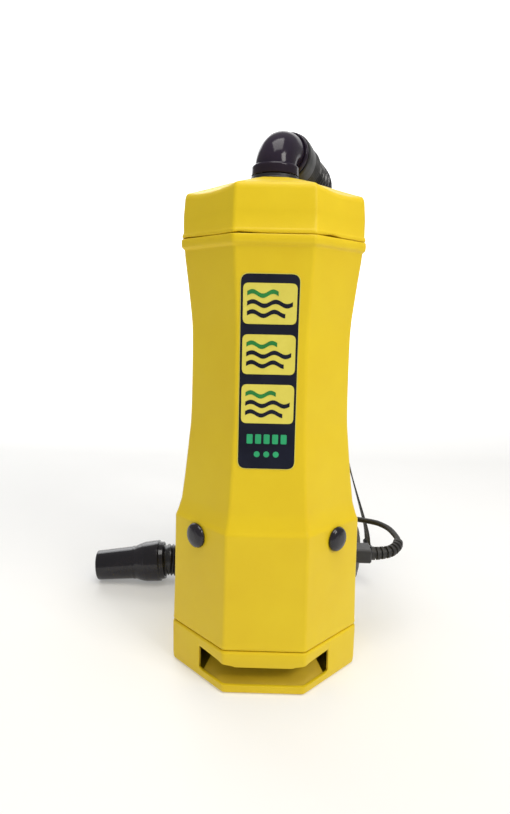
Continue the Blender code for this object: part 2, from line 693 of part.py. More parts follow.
def make_switch():
    """Switch box on the right belt wing, its rocker and the mains inlet gland."""
    length, height, thick = BOX_SIZE
    along = UP.cross(BOX_OUT)
    box = block("switch_box", BOX_SIZE, BLACK, bevel=0.003)
    placed(box, BOX_CENTRE, along, UP)
    rocker_high = 0.006
    pocket = block("cut_rocker", (ROCKER_SIZE[0] + 0.001, ROCKER_SIZE[1] + 0.001, 0.014), None)
    placed(pocket, BOX_CENTRE + BOX_OUT * (thick / 2) + UP * rocker_high, along, UP)
    cut(box, pocket)
    outline = [(-0.0110, 0.0030), (0, 0.0005), (0.0110, 0.0010), (0.0096, -0.0045),
               (-0.0096, -0.0045)]
    rocker = flat_outline("rocker_switch", outline, ROCKER_SIZE[0], RUBBER)
    pivot = BOX_CENTRE + BOX_OUT * (thick / 2 - 0.0005) + UP * rocker_high
    placed(rocker, pivot, -UP, BOX_OUT)
    gland = turned("mains_gland", [
        (0.0038, 0.0), (0.0090, 0.0), (0.0090, -0.006), (0.0070, -0.008), (0.0062, -0.016),
        (0.0038, -0.016)], BLACK, steps=16)
    gland.location = BOX_CENTRE - UP * (height / 2 + GAP)
    top_gland = rod("join_top_gland", 0.0062, 0.014, None)
    top_gland.location = BOX_CENTRE + UP * (height / 2 - 0.003)
    boolean(box, top_gland, "UNION")


# ---------------------------------------------------------------- harness

def rounded_rectangle(half_x, low, high, radius, steps=3):
    points = []
    for corner, (cx, cy) in enumerate(((half_x - radius, high - radius),
                                       (radius - half_x, high - radius),
                                       (radius - half_x, low + radius),
                                       (half_x - radius, low + radius))):
        for i in range(steps + 1):
            angle = math.pi / 2 * (corner + i / steps)
            points.append((cx + radius * math.cos(angle), cy + radius * math.sin(angle)))
    return points


def upright_plate(name, outline, thickness, front, finish):
    """An outline of (x, z) standing up, with its front face at a depth."""
    plate = flat_outline(name, outline, thickness, finish)
    return placed(plate, (0, front + thickness / 2, 0), (1, 0, 0), UP)


def make_frame():
    """Back plate on four bosses, screwed to the casing."""
    outline = rounded_rectangle(FRAME_HALF, FRAME_LOW, FRAME_HIGH, 0.020)
    plate = as_mesh(upright_plate("harness_frame", outline, FRAME_THICK, FRAME_FRONT, BLACK))
    for i, (x, z) in enumerate(SCREW_PLACES):
        near = casing_half(z - BOSS_RADIUS if z < 0.3 else z + BOSS_RADIUS) + 0.0005
        depth = FRAME_FRONT - near + 0.002
        boss = rod("join_boss", BOSS_RADIUS, depth, None)
        placed(boss, (x, near + depth / 2, z), (1, 0, 0), UP)
        boolean(plate, boss, "UNION")
        hole = rod("cut_boss", SCREW_HOLE, 0.06, None, 10)
        placed(hole, (x, FRAME_FRONT, z), (1, 0, 0), UP)
        cut(plate, hole)
        seat = rod("cut_head", HEAD_RADIUS + 0.0004, 2 * HEAD_DEPTH, None, 16)
        placed(seat, (x, FRAME_FRONT + FRAME_THICK, z), (1, 0, 0), UP)
        cut(plate, seat)
        head = FRAME_FRONT + FRAME_THICK - HEAD_DEPTH + GAP
        tip = casing_half(z) - 0.006
        length = head - tip
        screw = turned(f"frame_screw_{i + 1}", [
            (0, 0.0022), (0.0036, 0.0022), (HEAD_RADIUS, 0.0008), (HEAD_RADIUS, 0), (SCREW_RADIUS, 0),
            (SCREW_RADIUS, -length), (0, -length)], STEEL, steps=10, closed=False)
        placed(screw, (x, head, z), (1, 0, 0), (0, 0, -1))


def soft_block(name, outline, thickness, front):
    """A padded slab with its edges taken off."""
    slab = as_mesh(upright_plate(name, outline, thickness, front, MESH))
    rounding = slab.modifiers.new("soft_edge", "BEVEL")
    rounding.width = 0.004
    rounding.segments = 2
    rounding.limit_method = "ANGLE"
    rounding.angle_limit = math.radians(60)
    return slab


def make_pads():
    soft_block("back_pad", rounded_rectangle(0.066, 0.172, 0.425, 0.022), PAD_THICK, PAD_FRONT)
    soft_block("lumbar_pad", rounded_rectangle(0.064, 0.040, 0.128, 0.014), PAD_THICK, PAD_FRONT)


def make_straps():
    """Shoulder straps, their webbings and ladder locks; the right one hangs wider."""
    crest = [(0.058, 0.1172, 0.4400), (0.063, 0.1180, 0.4700), (0.072, 0.1240, 0.5080),
             (0.086, 0.1380, 0.5270), (0.091, 0.1560, 0.5330), (0.088, 0.1770, 0.5230)]
    fall_right = [(0.080, 0.1920, 0.4900), (0.079, 0.1960, 0.4300), (0.082, 0.1920, 0.3700),
                  (0.091, 0.1820, 0.3120), (0.100, 0.1720, 0.2680)]
    fall_left = [(0.080, 0.1920, 0.4900), (0.077, 0.1960, 0.4300), (0.074, 0.1930, 0.3700),
                 (0.072, 0.1850, 0.3120), (0.071, 0.1770, 0.2680)]
    tilt = [(1, 0, 0), (0.95, 0, 0.2), (0.87, 0, 0.5), (0.95, 0, 0.2), (1, 0.1, 0),
            (0.95, 0.3, 0), (0.8, 0.5, 0)]
    widths = (0.040, STRAP_WIDTH, STRAP_WIDTH, STRAP_WIDTH, STRAP_WIDTH, STRAP_WIDTH, 0.032)
    web_right = [(0.1020, 0.1700, 0.2560), (0.1085, 0.1670, 0.2250), (0.1180, 0.1650, 0.1900),
                 (0.1290, 0.1630, 0.1530), (0.1410, 0.1610, 0.1150), (0.1500, 0.1590, 0.0850),
                 (0.1530, 0.1570, 0.0650)]
    web_left = [(-0.0710, 0.1750, 0.2560), (-0.0730, 0.1710, 0.2320), (-0.0790, 0.1680, 0.2080),
                (-0.0870, 0.1650, 0.1840), (-0.0955, 0.1620, 0.1610)]
    edge_on = [(0.45, 0.9, 0), (0.1, 1, 0), (-0.12, 1, 0)]
    lock = (0.036, 0.020, 0.006)

    for side, word, fall, web in ((1, "right", fall_right, web_right),
                                  (-1, "left", fall_left, web_left)):
        route = crest + fall
        across = tilt
        turn = edge_on
        if side < 0:
            route = [mirrored(p) for p in route]
            across = [mirrored(v) for v in tilt]
            turn = [mirrored(v) for v in edge_on]
        even_strap(f"shoulder_strap_{word}", route, across, widths, STRAP_THICK, MESH, 0.030)
        even_strap(f"strap_webbing_{word}", web, turn, (WEB_WIDTH,) * 3, WEB_THICK, NYLON, 0.025)
        end = Vector(web[-1])
        ahead = (end - Vector(web[-2])).normalized()
        slider = block(f"strap_lock_{word}", lock, BLACK, bevel=0.002)
        centre = end + ahead * (lock[1] / 2 + 0.0012)
        placed(slider, centre, turn[-1], ahead)


def make_belt():
    """Padded belt wings sewn to the lumbar pad, their webbings and the buckle."""
    right = [(0.0655, 0.1205, 0.0780), (0.0960, 0.1235, 0.0670), (0.1225, 0.1310, 0.0560),
             (0.1365, 0.1500, 0.0500), (0.1320, 0.1850, 0.0530), (0.1145, 0.2180, 0.0620),
             (0.0900, 0.2450, 0.0720)]
    left = [(-0.0655, 0.1205, 0.0850), (-0.0880, 0.1240, 0.0930), (-0.1040, 0.1380, 0.0980),
            (-0.1080, 0.1650, 0.1000), (-0.1020, 0.2000, 0.1010), (-0.0820, 0.2340, 0.1010)]
    up = [(0, 0, 1)] * 3
    even_strap("waist_belt_right", right, up, (0.070, 0.074, 0.046), BELT_THICK, MESH, 0.028)
    even_strap("waist_belt_left", left, up, (0.070, 0.072, 0.046), BELT_THICK, MESH, 0.028)
    even_strap("belt_webbing_right", [(0.0885, 0.2465, 0.0725), (0.0660, 0.2640, 0.0790),
                                      (0.0420, 0.2740, 0.0860), (0.0262, 0.2760, 0.0900)],
               up, (0.036,) * 3, 0.002, NYLON, 0.018)
    even_strap("belt_webbing_left", [(-0.0805, 0.2360, 0.1008), (-0.0620, 0.2580, 0.0970),
                                     (-0.0420, 0.2730, 0.0920), (-0.0282, 0.2760, 0.0900)],
               up, (0.036,) * 3, 0.002, NYLON, 0.018)

    socket = block("buckle_socket", (0.030, 0.014, 0.044), BLACK, bevel=0.002)
    socket.location = BUCKLE_CENTRE - Vector((0.0125, 0, 0))
    slot = block("cut_slot", (0.030, 0.0076, 0.034), None)
    slot.location = BUCKLE_CENTRE - Vector((0.0075, 0, 0))
    cut(socket, slot)
    plug = as_mesh(flat_outline("buckle_plug", [
        (0.025, 0.020), (0.003, 0.020), (0.003, 0.0155), (-0.016, 0.0155), (-0.019, 0.011),
        (-0.014, 0.009), (-0.002, 0.009), (-0.002, 0.003), (-0.017, 0.003), (-0.017, -0.003),
        (-0.002, -0.003), (-0.002, -0.009), (-0.014, -0.009), (-0.019, -0.011),
        (-0.016, -0.0155), (0.003, -0.0155), (0.003, -0.020), (0.025, -0.020)], 0.0064, BLACK))
    placed(plug, BUCKLE_CENTRE + Vector((0.0006, 0, 0)), (1, 0, 0), UP)


# ---------------------------------------------------------------- latches

def make_latches():
    """Lid latches on the rear angled facets: bracket, pin and lever on each side."""
    lever_outline = [(-0.0028, -0.0045), (0.0026, -0.0045), (0.0026, 0.0220), (0.0062, 0.0340),
                     (0.0040, 0.0390), (-0.0028, 0.0330)]
    low = LATCH_PIVOT_Z - 0.0215
    high = LATCH_PIVOT_Z + 0.0045
    out = 0.0032
    bracket_outline = [(casing_half(low) + 0.0004 - LATCH_PIVOT_OUT, -0.0215),
                       (-0.0010, -0.0215), (out, -0.0150), (out, 0.0045),
                       (casing_half(high) + 0.0004 - LATCH_PIVOT_OUT, 0.0045)]
    bracket_width = LATCH_WIDTH + 2 * EAR_WIDTH + 0.001
    for side, word in ((-1, "left"), (1, "right")):
        radial = Vector((side * DIAGONAL, DIAGONAL, 0))
        pivot = radial * LATCH_PIVOT_OUT + UP * LATCH_PIVOT_Z
        axis = radial.cross(UP)

        lever = placed(flat_outline(f"latch_{word}", lever_outline, LATCH_WIDTH, BLACK),
                       pivot, radial, UP)
        lever = as_mesh(lever)
        bracket = placed(flat_outline(f"latch_bracket_{word}", bracket_outline, bracket_width,
                                      BLACK), pivot, radial, UP)
        bracket = as_mesh(bracket)
        slot = block("cut_latch_slot", (0.03, 0.02, LATCH_WIDTH + 0.001), None)
        placed(slot, pivot + UP * 0.0042, radial, UP)
        cut(bracket, slot)
        for holder in (lever, bracket):
            hole = rod("cut_pin_hole", PIN_HOLE, 0.04, None)
            placed(hole, pivot, radial, UP)
            cut(holder, hole)
        pin = rod(f"latch_pin_{word}", PIN_RADIUS, bracket_width, STEEL, 12)
        placed(pin, pivot, radial, radial.cross(axis))


make_base()
make_shell()
make_front_trim()
make_motor()
make_filters()
make_lid()
make_elbow()
make_hose()
make_lead()
make_switch()
make_frame()
make_pads()
make_straps()
make_belt()
make_latches()
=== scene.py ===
"""Looks of the backpack vacuum cleaner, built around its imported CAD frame."""
import math

import bmesh
import bpy
from mathutils import Matrix, Vector


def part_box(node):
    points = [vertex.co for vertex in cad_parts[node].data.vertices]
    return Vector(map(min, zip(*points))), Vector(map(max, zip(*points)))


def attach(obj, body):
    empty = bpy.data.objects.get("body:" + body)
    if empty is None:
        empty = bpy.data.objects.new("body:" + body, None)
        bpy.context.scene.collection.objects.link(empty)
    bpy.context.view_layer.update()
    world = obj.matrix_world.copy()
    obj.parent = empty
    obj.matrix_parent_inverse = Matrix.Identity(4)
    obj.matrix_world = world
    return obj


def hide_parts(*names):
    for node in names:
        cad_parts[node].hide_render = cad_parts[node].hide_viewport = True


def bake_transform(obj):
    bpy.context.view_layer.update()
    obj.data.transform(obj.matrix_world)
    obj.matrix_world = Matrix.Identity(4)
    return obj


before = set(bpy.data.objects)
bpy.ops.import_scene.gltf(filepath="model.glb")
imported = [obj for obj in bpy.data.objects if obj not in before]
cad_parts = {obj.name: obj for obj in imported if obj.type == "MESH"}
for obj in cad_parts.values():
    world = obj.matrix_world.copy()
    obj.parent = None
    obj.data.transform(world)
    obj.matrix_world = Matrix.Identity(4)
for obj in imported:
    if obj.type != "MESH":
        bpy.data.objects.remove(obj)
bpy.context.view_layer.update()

UP = Vector((0, 0, 1))
DIAGONAL = math.sqrt(0.5)
EIGHTH = math.pi / 8

# Casing outline: (height, half width across flats)
CASING = (
    (0.0514, 0.1028), (0.0965, 0.1018), (0.1720, 0.1006), (0.1810, 0.0976),
    (0.1906, 0.0946), (0.2140, 0.0916), (0.2380, 0.0890), (0.2600, 0.0868),
    (0.2810, 0.0850), (0.3190, 0.0841), (0.3750, 0.0840), (0.4080, 0.0867),
    (0.4545, 0.0920),
)
WALL = 0.003
CORNER = 0.0062
HUB_RADIUS = 0.0345
CAP_HEIGHT = 0.160
CAP_SHIFT = 0.0035
SEAM_GAPES = (-150.0, -107.0, -55.0)

# Hose and lead routes, the same points as the CAD model's
HOSE_RADIUS = 0.023
HOSE_PITCH = 0.0052
HOSE_TAIL = 0.010
HOSE_SPLIT = 0.30
ELBOW_START = 0.5385
ELBOW_RISE = 0.5440
ELBOW_BEND = 0.0235
ELBOW_TURN = math.radians(100)
ELBOW_TAIL = 0.003
ELBOW_HEADING = Vector((0.46, math.sqrt(1 - 0.46 ** 2), 0))
CUFF_LENGTH = 0.037
OUTLET = ELBOW_HEADING * math.sin(ELBOW_TURN) + UP * math.cos(ELBOW_TURN)
GAP = 0.0003
HOSE_POINTS = (
    (0.0480, 0.093, 0.5520), (0.0515, 0.129, 0.5475), (0.0495, 0.168, 0.5440),
    (0.0470, 0.215, 0.5330), (0.0440, 0.268, 0.5080), (0.0420, 0.320, 0.4680),
    (0.0400, 0.366, 0.4140), (0.0380, 0.400, 0.3500), (0.0360, 0.424, 0.2780),
    (0.0330, 0.438, 0.2050), (0.0270, 0.430, 0.1330), (0.0160, 0.400, 0.0750),
    (0.0000, 0.349, 0.0370), (-0.0180, 0.290, 0.0240), (-0.0350, 0.234, 0.0240),
    (-0.0610, 0.190, 0.0245), (-0.0980, 0.162, 0.0270), (-0.1410, 0.152, 0.0310),
)
END_CUFF_DIRECTION = Vector((-0.995, -0.035, -0.094)).normalized()
LEAD_RADIUS = 0.0035
RELIEF_POINTS = (
    (0.1256, 0.0000, 0.1150), (0.1335, 0.0000, 0.1150), (0.1490, 0.0042, 0.1160),
    (0.1598, 0.0150, 0.1180), (0.1634, 0.0240, 0.1195),
)
LEAD_POINTS = (
    (0.1645, 0.0350, 0.1210), (0.1603, 0.0584, 0.1228), (0.1518, 0.0746, 0.1232),
    (0.1440, 0.0840, 0.1225), (0.1280, 0.1005, 0.1195), (0.1165, 0.1175, 0.1150),
    (0.1125, 0.1350, 0.1110), (0.1105, 0.1580, 0.1085), (0.1100, 0.1800, 0.1120),
    (0.1095, 0.2010, 0.1230), (0.1085, 0.2200, 0.1340), (0.1070, 0.2370, 0.1380),
    (0.1055, 0.2520, 0.1320), (0.1043, 0.2605, 0.1195), (0.1040, 0.2620, 0.1068),
)


# ---------------------------------------------------------------- materials

def node(tree, kind, **sockets):
    made = tree.nodes.new(kind)
    for name, value in sockets.items():
        made.inputs[name.replace("_", " ")].default_value = value
    return made


def maths(tree, operation, first, second):
    """A maths node; each input is a socket to link or a plain value."""
    made = tree.nodes.new("ShaderNodeMath")
    made.operation = operation
    for slot, value in enumerate((first, second)):
        if isinstance(value, float):
            made.inputs[slot].default_value = value
        elif value is not None:
            tree.links.new(value, made.inputs[slot])
    return made.outputs["Value"]


def surface(name, colour, roughness, second=None, patch=22.0, spread=0.08, grain=1500.0,
            bump=0.2, depth=0.0002, metallic=0.0, coat=0.0, sheen=0.0, specular=0.5):
    """A moulded, painted or rubbed surface: two mixed tones, uneven gloss and a fine grain."""
    made = bpy.data.materials.new(name)
    made.use_nodes = True
    tree = made.node_tree
    shader = tree.nodes["Principled BSDF"]
    shader.inputs["Metallic"].default_value = metallic
    shader.inputs["Coat Weight"].default_value = coat
    shader.inputs["Coat Roughness"].default_value = 0.08
    shader.inputs["Sheen Weight"].default_value = sheen
    shader.inputs["Specular IOR Level"].default_value = specular
    place = tree.nodes.new("ShaderNodeTexCoord")
    broad = node(tree, "ShaderNodeTexNoise", Scale=patch, Detail=5.0, Roughness=0.6)
    tones = tree.nodes.new("ShaderNodeValToRGB")
    tones.color_ramp.elements[0].position = 0.32
    tones.color_ramp.elements[1].position = 0.68
    tones.color_ramp.elements[0].color = (*(second or [c * 0.82 for c in colour]), 1)
    tones.color_ramp.elements[1].color = (*colour, 1)
    gloss = node(tree, "ShaderNodeTexNoise", Scale=patch * 7, Detail=3.0)
    spreading = node(tree, "ShaderNodeMapRange", To_Min=max(0.02, roughness - spread),
                     To_Max=roughness + spread)
    fine = node(tree, "ShaderNodeTexNoise", Scale=grain, Detail=2.0)
    relief = node(tree, "ShaderNodeBump", Strength=bump, Distance=depth)
    link = tree.links.new
    for texture in (broad, gloss, fine):
        link(place.outputs["Object"], texture.inputs["Vector"])
    link(broad.outputs["Fac"], tones.inputs["Fac"])
    link(tones.outputs["Color"], shader.inputs["Base Color"])
    link(gloss.outputs["Fac"], spreading.inputs["Value"])
    link(spreading.outputs["Result"], shader.inputs["Roughness"])
    link(fine.outputs["Fac"], relief.inputs["Height"])
    link(relief.outputs["Normal"], shader.inputs["Normal"])
    return made


def woven(name, colour, second, across, along, depth, sheen=0.3):
    """Webbing: crossing threads from the strap's own width and length, as UVs in metres."""
    made = surface(name, colour, 0.72, second, patch=60.0, sheen=sheen, specular=0.35)
    tree = made.node_tree
    link = tree.links.new
    place = tree.nodes["Texture Coordinate"]
    relief = tree.nodes["Bump"]
    split = tree.nodes.new("ShaderNodeSeparateXYZ")
    link(place.outputs["UV"], split.inputs["Vector"])
    waves = []
    for axis, count in (("X", across), ("Y", along)):
        turn = maths(tree, "MULTIPLY", split.outputs[axis], count * 2 * math.pi)
        waves.append(maths(tree, "SINE", turn, None))
    link(maths(tree, "MULTIPLY", *waves), relief.inputs["Height"])
    relief.inputs["Strength"].default_value = 0.8
    relief.inputs["Distance"].default_value = depth
    return made


def spacer(name, colour, second, cell):
    """Air-mesh fabric: small round openings in a darker ground."""
    made = surface(name, colour, 0.85, second, patch=18.0, sheen=0.35, specular=0.25)
    tree = made.node_tree
    link = tree.links.new
    cells = node(tree, "ShaderNodeTexVoronoi", Scale=1 / cell, Randomness=0.25)
    link(tree.nodes["Texture Coordinate"].outputs["Object"], cells.inputs["Vector"])
    dots = tree.nodes.new("ShaderNodeValToRGB")
    dots.color_ramp.elements[0].position = 0.18
    dots.color_ramp.elements[1].position = 0.42
    dots.color_ramp.elements[0].color = (0.15, 0.15, 0.15, 1)
    link(cells.outputs["Distance"], dots.inputs["Fac"])
    darker = tree.nodes.new("ShaderNodeMix")
    darker.data_type = "RGBA"
    darker.blend_type = "MULTIPLY"
    darker.inputs["Factor"].default_value = 0.8
    ramp = tree.nodes["Color Ramp"]
    link(ramp.outputs["Color"], darker.inputs["A"])
    link(dots.outputs["Color"], darker.inputs["B"])
    link(darker.outputs["Result"], tree.nodes["Principled BSDF"].inputs["Base Color"])
    relief = tree.nodes["Bump"]
    link(dots.outputs["Color"], relief.inputs["Height"])
    relief.inputs["Strength"].default_value = 0.7
    relief.inputs["Distance"].default_value = 0.0006
    return made


YELLOW = surface("yellow_abs_look", (0.82, 0.60, 0.013), 0.42, (0.78, 0.545, 0.010), patch=9.0,
                 grain=1700.0, bump=0.35, depth=0.00018, specular=0.3)
# A darker copy of the yellow plastic: painted shade for the ramp that sits under the base's lip
SHADED_YELLOW = surface("shaded_yellow_look", (0.70, 0.48, 0.012), 0.48, (0.60, 0.39, 0.01), patch=12.0,
                      grain=1500.0, bump=0.3)
NAVY = surface("navy_vinyl_look", (0.008, 0.010, 0.024), 0.34, (0.004, 0.005, 0.014), patch=40.0,
               grain=900.0, bump=0.08, depth=0.0001, specular=0.2)
PRINT_YELLOW = surface("print_yellow_look", (0.80, 0.70, 0.10), 0.36, (0.74, 0.64, 0.08), patch=60.0,
                       grain=900.0, bump=0.06, depth=0.0001)
PRINT_GREEN = surface("print_green_look", (0.012, 0.24, 0.035), 0.36, (0.008, 0.17, 0.03),
                      patch=60.0, grain=900.0, bump=0.06, depth=0.0001)
PRINT_MINT = surface("print_mint_look", (0.02, 0.42, 0.16), 0.36, (0.012, 0.30, 0.11),
                     patch=60.0, grain=900.0, bump=0.06, depth=0.0001)
SMOKE = surface("smoke_plastic_look", (0.026, 0.018, 0.034), 0.14, (0.014, 0.010, 0.020), patch=14.0,
                spread=0.05, grain=220.0, bump=0.03, coat=0.0, specular=0.22)
GLOSS_BLACK = surface("gloss_black_look", (0.016, 0.013, 0.019), 0.16, (0.009, 0.008, 0.012),
                      patch=20.0, spread=0.06, grain=300.0, bump=0.05, coat=0.1,
                      specular=0.4)
# The black finish is the real colour of the nylon and plastic parts, and also paints shade inside the base
BLACK = surface("black_nylon_and_painted_shade_look", (0.017, 0.017, 0.019), 0.42, (0.010, 0.010, 0.012), patch=35.0,
                grain=1300.0, bump=0.3)
HOSE = surface("hose_look", (0.014, 0.013, 0.016), 0.30, (0.008, 0.008, 0.010), patch=45.0,
               spread=0.10, grain=900.0, bump=0.12)
RUBBER = surface("rubber_look", (0.016, 0.016, 0.017), 0.55, (0.026, 0.025, 0.024), patch=50.0,
                 grain=1100.0, bump=0.25)
STEEL = surface("zinc_steel_look", (0.62, 0.62, 0.60), 0.28, (0.45, 0.45, 0.44), patch=60.0,
                grain=500.0, bump=0.15, depth=0.0001, metallic=1.0)
ALLOY = surface("cast_alloy_look", (0.66, 0.66, 0.67), 0.42, (0.52, 0.52, 0.53), patch=70.0,
                grain=900.0, bump=0.4, metallic=1.0)
COPPER = surface("winding_look", (0.62, 0.24, 0.09), 0.34, (0.40, 0.13, 0.05), patch=80.0,
                 grain=700.0, bump=0.5, depth=0.0003, metallic=1.0)
WEBBING = woven("webbing_look", (0.014, 0.014, 0.015), (0.024, 0.024, 0.025), 620.0, 480.0, 0.0003)
BINDING = surface("binding_look", (0.010, 0.010, 0.011), 0.65, (0.02, 0.02, 0.02), patch=90.0,
                  grain=1500.0, bump=0.5, depth=0.0003, sheen=0.3)
THREAD = surface("thread_look", (0.05, 0.05, 0.052), 0.6, (0.03, 0.03, 0.03), patch=200.0,
                 grain=2500.0, bump=0.5, sheen=0.2)
AIR_MESH = spacer("air_mesh_look", (0.026, 0.026, 0.028), (0.016, 0.016, 0.018), 0.0026)
CORDURA = surface("cordura_look", (0.017, 0.017, 0.019), 0.8, (0.026, 0.026, 0.028), patch=70.0,
                  grain=1900.0, bump=0.8, depth=0.0004, sheen=0.35, specular=0.3)
CLOTH = surface("filter_cloth_look", (0.72, 0.73, 0.72), 0.88, (0.60, 0.61, 0.60), patch=30.0,
                grain=1600.0, bump=0.7, depth=0.0004, sheen=0.3)
PAPER = surface("bag_paper_look", (0.74, 0.66, 0.50), 0.86, (0.66, 0.57, 0.42), patch=25.0,
                grain=700.0, bump=0.5, depth=0.0003)
MEDIA = surface("filter_media_look", (0.20, 0.20, 0.19), 0.9, (0.14, 0.14, 0.13), patch=50.0,
                grain=1200.0, bump=0.7, depth=0.0004)


# ---------------------------------------------------------------- shape helpers

def piece(obj, body, *nodes):
    """Ride on a body, and stand for any CAD nodes named."""
    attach(obj, body)
    if nodes:
        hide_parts(*nodes)
    return obj


def mesh_object(name, vertices, faces, finish, sharp=38.0, uvs=None):
    mesh = bpy.data.meshes.new(name)
    mesh.from_pydata([tuple(v) for v in vertices], [], faces)
    mesh.update()
    mesh.shade_smooth()
    if uvs:
        layer = mesh.uv_layers.new(name="UVMap")
        for loop in mesh.loops:
            layer.data[loop.index].uv = uvs[loop.vertex_index]
    mesh.set_sharp_from_angle(angle=math.radians(sharp))
    obj = bpy.data.objects.new(name, mesh)
    bpy.context.scene.collection.objects.link(obj)
    mesh.materials.append(finish)
    return obj


def bevelled(obj, width):
    made = obj.modifiers.new("soft_edges", "BEVEL")
    made.width = width
    made.segments = 2
    return made


def ring_faces(rings, size, close_rings=False, caps=False):
    """Quads between rings of points, each ring closed on itself."""
    faces = []
    last = rings if close_rings else rings - 1
    for i in range(last):
        a = i * size
        b = (i + 1) % rings * size
        for k in range(size):
            n = (k + 1) % size
            faces.append((a + k, a + n, b + n, b + k))
    if caps:
        faces.append(tuple(range(size))[::-1])
        faces.append(tuple(range((rings - 1) * size, rings * size)))
    return faces


def tidy_normals(obj):
    work = bmesh.new()
    work.from_mesh(obj.data)
    bmesh.ops.remove_doubles(work, verts=work.verts, dist=0.00001)
    bmesh.ops.recalc_face_normals(work, faces=work.faces)
    work.to_mesh(obj.data)
    work.free()
    return obj


def rounded(outline, radius, closed=False, steps=4):
    """An outline with its corners eased by short curves."""
    points = [Vector(p) for p in outline]
    count = len(points)
    made = []
    for i, point in enumerate(points):
        if not closed and i in (0, count - 1):
            made.append(point)
            continue
        before = points[i - 1]
        after = points[(i + 1) % count]
        reach = min(radius, (point - before).length * 0.45, (after - point).length * 0.45)
        first = point + (before - point).normalized() * reach
        last = point + (after - point).normalized() * reach
        for k in range(steps + 1):
            t = k / steps
            made.append(first.lerp(point, t).lerp(point.lerp(last, t), t))
    return [tuple(p) for p in made]


def lathe(name, outline, finish, origin=(0, 0, 0), axis=UP, steps=48, closed=True, ease=0.0):
    """Turn an outline of (radius, distance along the axis) about an axis at a point."""
    if ease:
        outline = rounded(outline, ease, closed)
    out = Vector(axis).normalized()
    side = out.orthogonal().normalized()
    other = out.cross(side)
    vertices = []
    for r, along in outline:
        for k in range(steps):
            angle = 2 * math.pi * k / steps
            vertices.append(Vector(origin) + out * along
                            + (side * math.cos(angle) + other * math.sin(angle)) * r)
    obj = mesh_object(name, vertices, ring_faces(len(outline), steps, closed), finish)
    return tidy_normals(obj)


def smooth_route(points, spacing):
    """Points at an even spacing on a smooth curve through a route's own points."""
    own = [Vector(p) for p in points]
    padded = [own[0] * 2 - own[1]] + own + [own[-1] * 2 - own[-2]]
    fine = []
    for a, b, c, d in zip(padded, padded[1:], padded[2:], padded[3:]):
        for step in range(24):
            t = step / 24
            fine.append(0.5 * ((2 * b) + (c - a) * t + (2 * a - 5 * b + 4 * c - d) * t ** 2
                               + (3 * b - a - 3 * c + d) * t ** 3))
    fine.append(own[-1])
    lengths = [0.0]
    for a, b in zip(fine, fine[1:]):
        lengths.append(lengths[-1] + (b - a).length)
    count = max(2, round(lengths[-1] / spacing))
    spaced = []
    index = 0
    for i in range(count + 1):
        want = lengths[-1] * i / count
        while index < len(fine) - 2 and lengths[index + 1] < want:
            index += 1
        span = lengths[index + 1] - lengths[index]
        share = (want - lengths[index]) / span if span else 0.0
        spaced.append(fine[index].lerp(fine[index + 1], min(1.0, share)))
    return spaced


def path_length(path):
    return sum((b - a).length for a, b in zip(path, path[1:]))


def frames_along(path):
    """(point, side, other) along a path, turning as little as possible."""
    frames = []
    side = None
    for i, point in enumerate(path):
        along = (path[min(i + 1, len(path) - 1)] - path[max(i - 1, 0)]).normalized()
        if side is None:
            side = along.orthogonal().normalized()
        side = (side - along * side.dot(along)).normalized()
        frames.append((point, side, along.cross(side)))
    return frames


def swept_tube(name, path, radii, finish, sides=24, inner=None, sharp=60.0):
    """A round tube along a path, hollow where an inner radius is given."""
    frames = frames_along(path)
    stations = [(frame_at, r) for frame_at, r in zip(frames, radii)]
    if inner:
        stations += [(frame_at, inner) for frame_at in reversed(frames)]
    vertices = []
    for (point, side, other), r in stations:
        for k in range(sides):
            angle = 2 * math.pi * k / sides
            vertices.append(point + (side * math.cos(angle) + other * math.sin(angle)) * r)
    faces = ring_faces(len(stations), sides, close_rings=bool(inner), caps=not inner)
    return tidy_normals(mesh_object(name, vertices, faces, finish, sharp))


def casing_half(z):
    for (z0, w0), (z1, w1) in zip(CASING, CASING[1:]):
        if z <= z1:
            return w0 + (w1 - w0) * (z - z0) / (z1 - z0)
    return CASING[-1][1]


def octagon_ring(half, corner=CORNER):
    """(x, y) round an octagon whose corners are rounded."""
    points = []
    flat = half * math.tan(EIGHTH) - corner * math.tan(EIGHTH)
    near = min(0.0028, flat * 0.4)
    for facet in range(8):
        angle = facet * 2 * EIGHTH
        out = Vector((math.cos(angle), math.sin(angle)))
        along = Vector((-out.y, out.x))
        for u in (-flat + near, -flat * 0.4, 0.0, flat * 0.4, flat - near):
            place = out * half + along * u
            points.append((place.x, place.y))
        centre_angle = angle + EIGHTH
        centre = Vector((math.cos(centre_angle), math.sin(centre_angle)))
        centre *= (half - corner) / math.cos(EIGHTH)
        for k in range(6):
            turn = angle + 2 * EIGHTH * k / 5
            place = centre + Vector((math.cos(turn), math.sin(turn))) * corner
            points.append((place.x, place.y))
    return points


def octagon_loft(name, outline, finish, lift=None, corner=CORNER, closed=True):
    """Rounded octagons stacked along an outline of (half width, height)."""
    vertices = []
    size = len(octagon_ring(outline[0][0], corner))
    for half, z in outline:
        for x, y in octagon_ring(half, min(corner, half * 0.9)):
            rise = lift(half, z, math.atan2(y, x)) if lift else 0.0
            vertices.append((x, y, z + rise))
    faces = ring_faces(len(outline), size, close_rings=closed, caps=not closed)
    return tidy_normals(mesh_object(name, vertices, faces, finish, sharp=50.0))


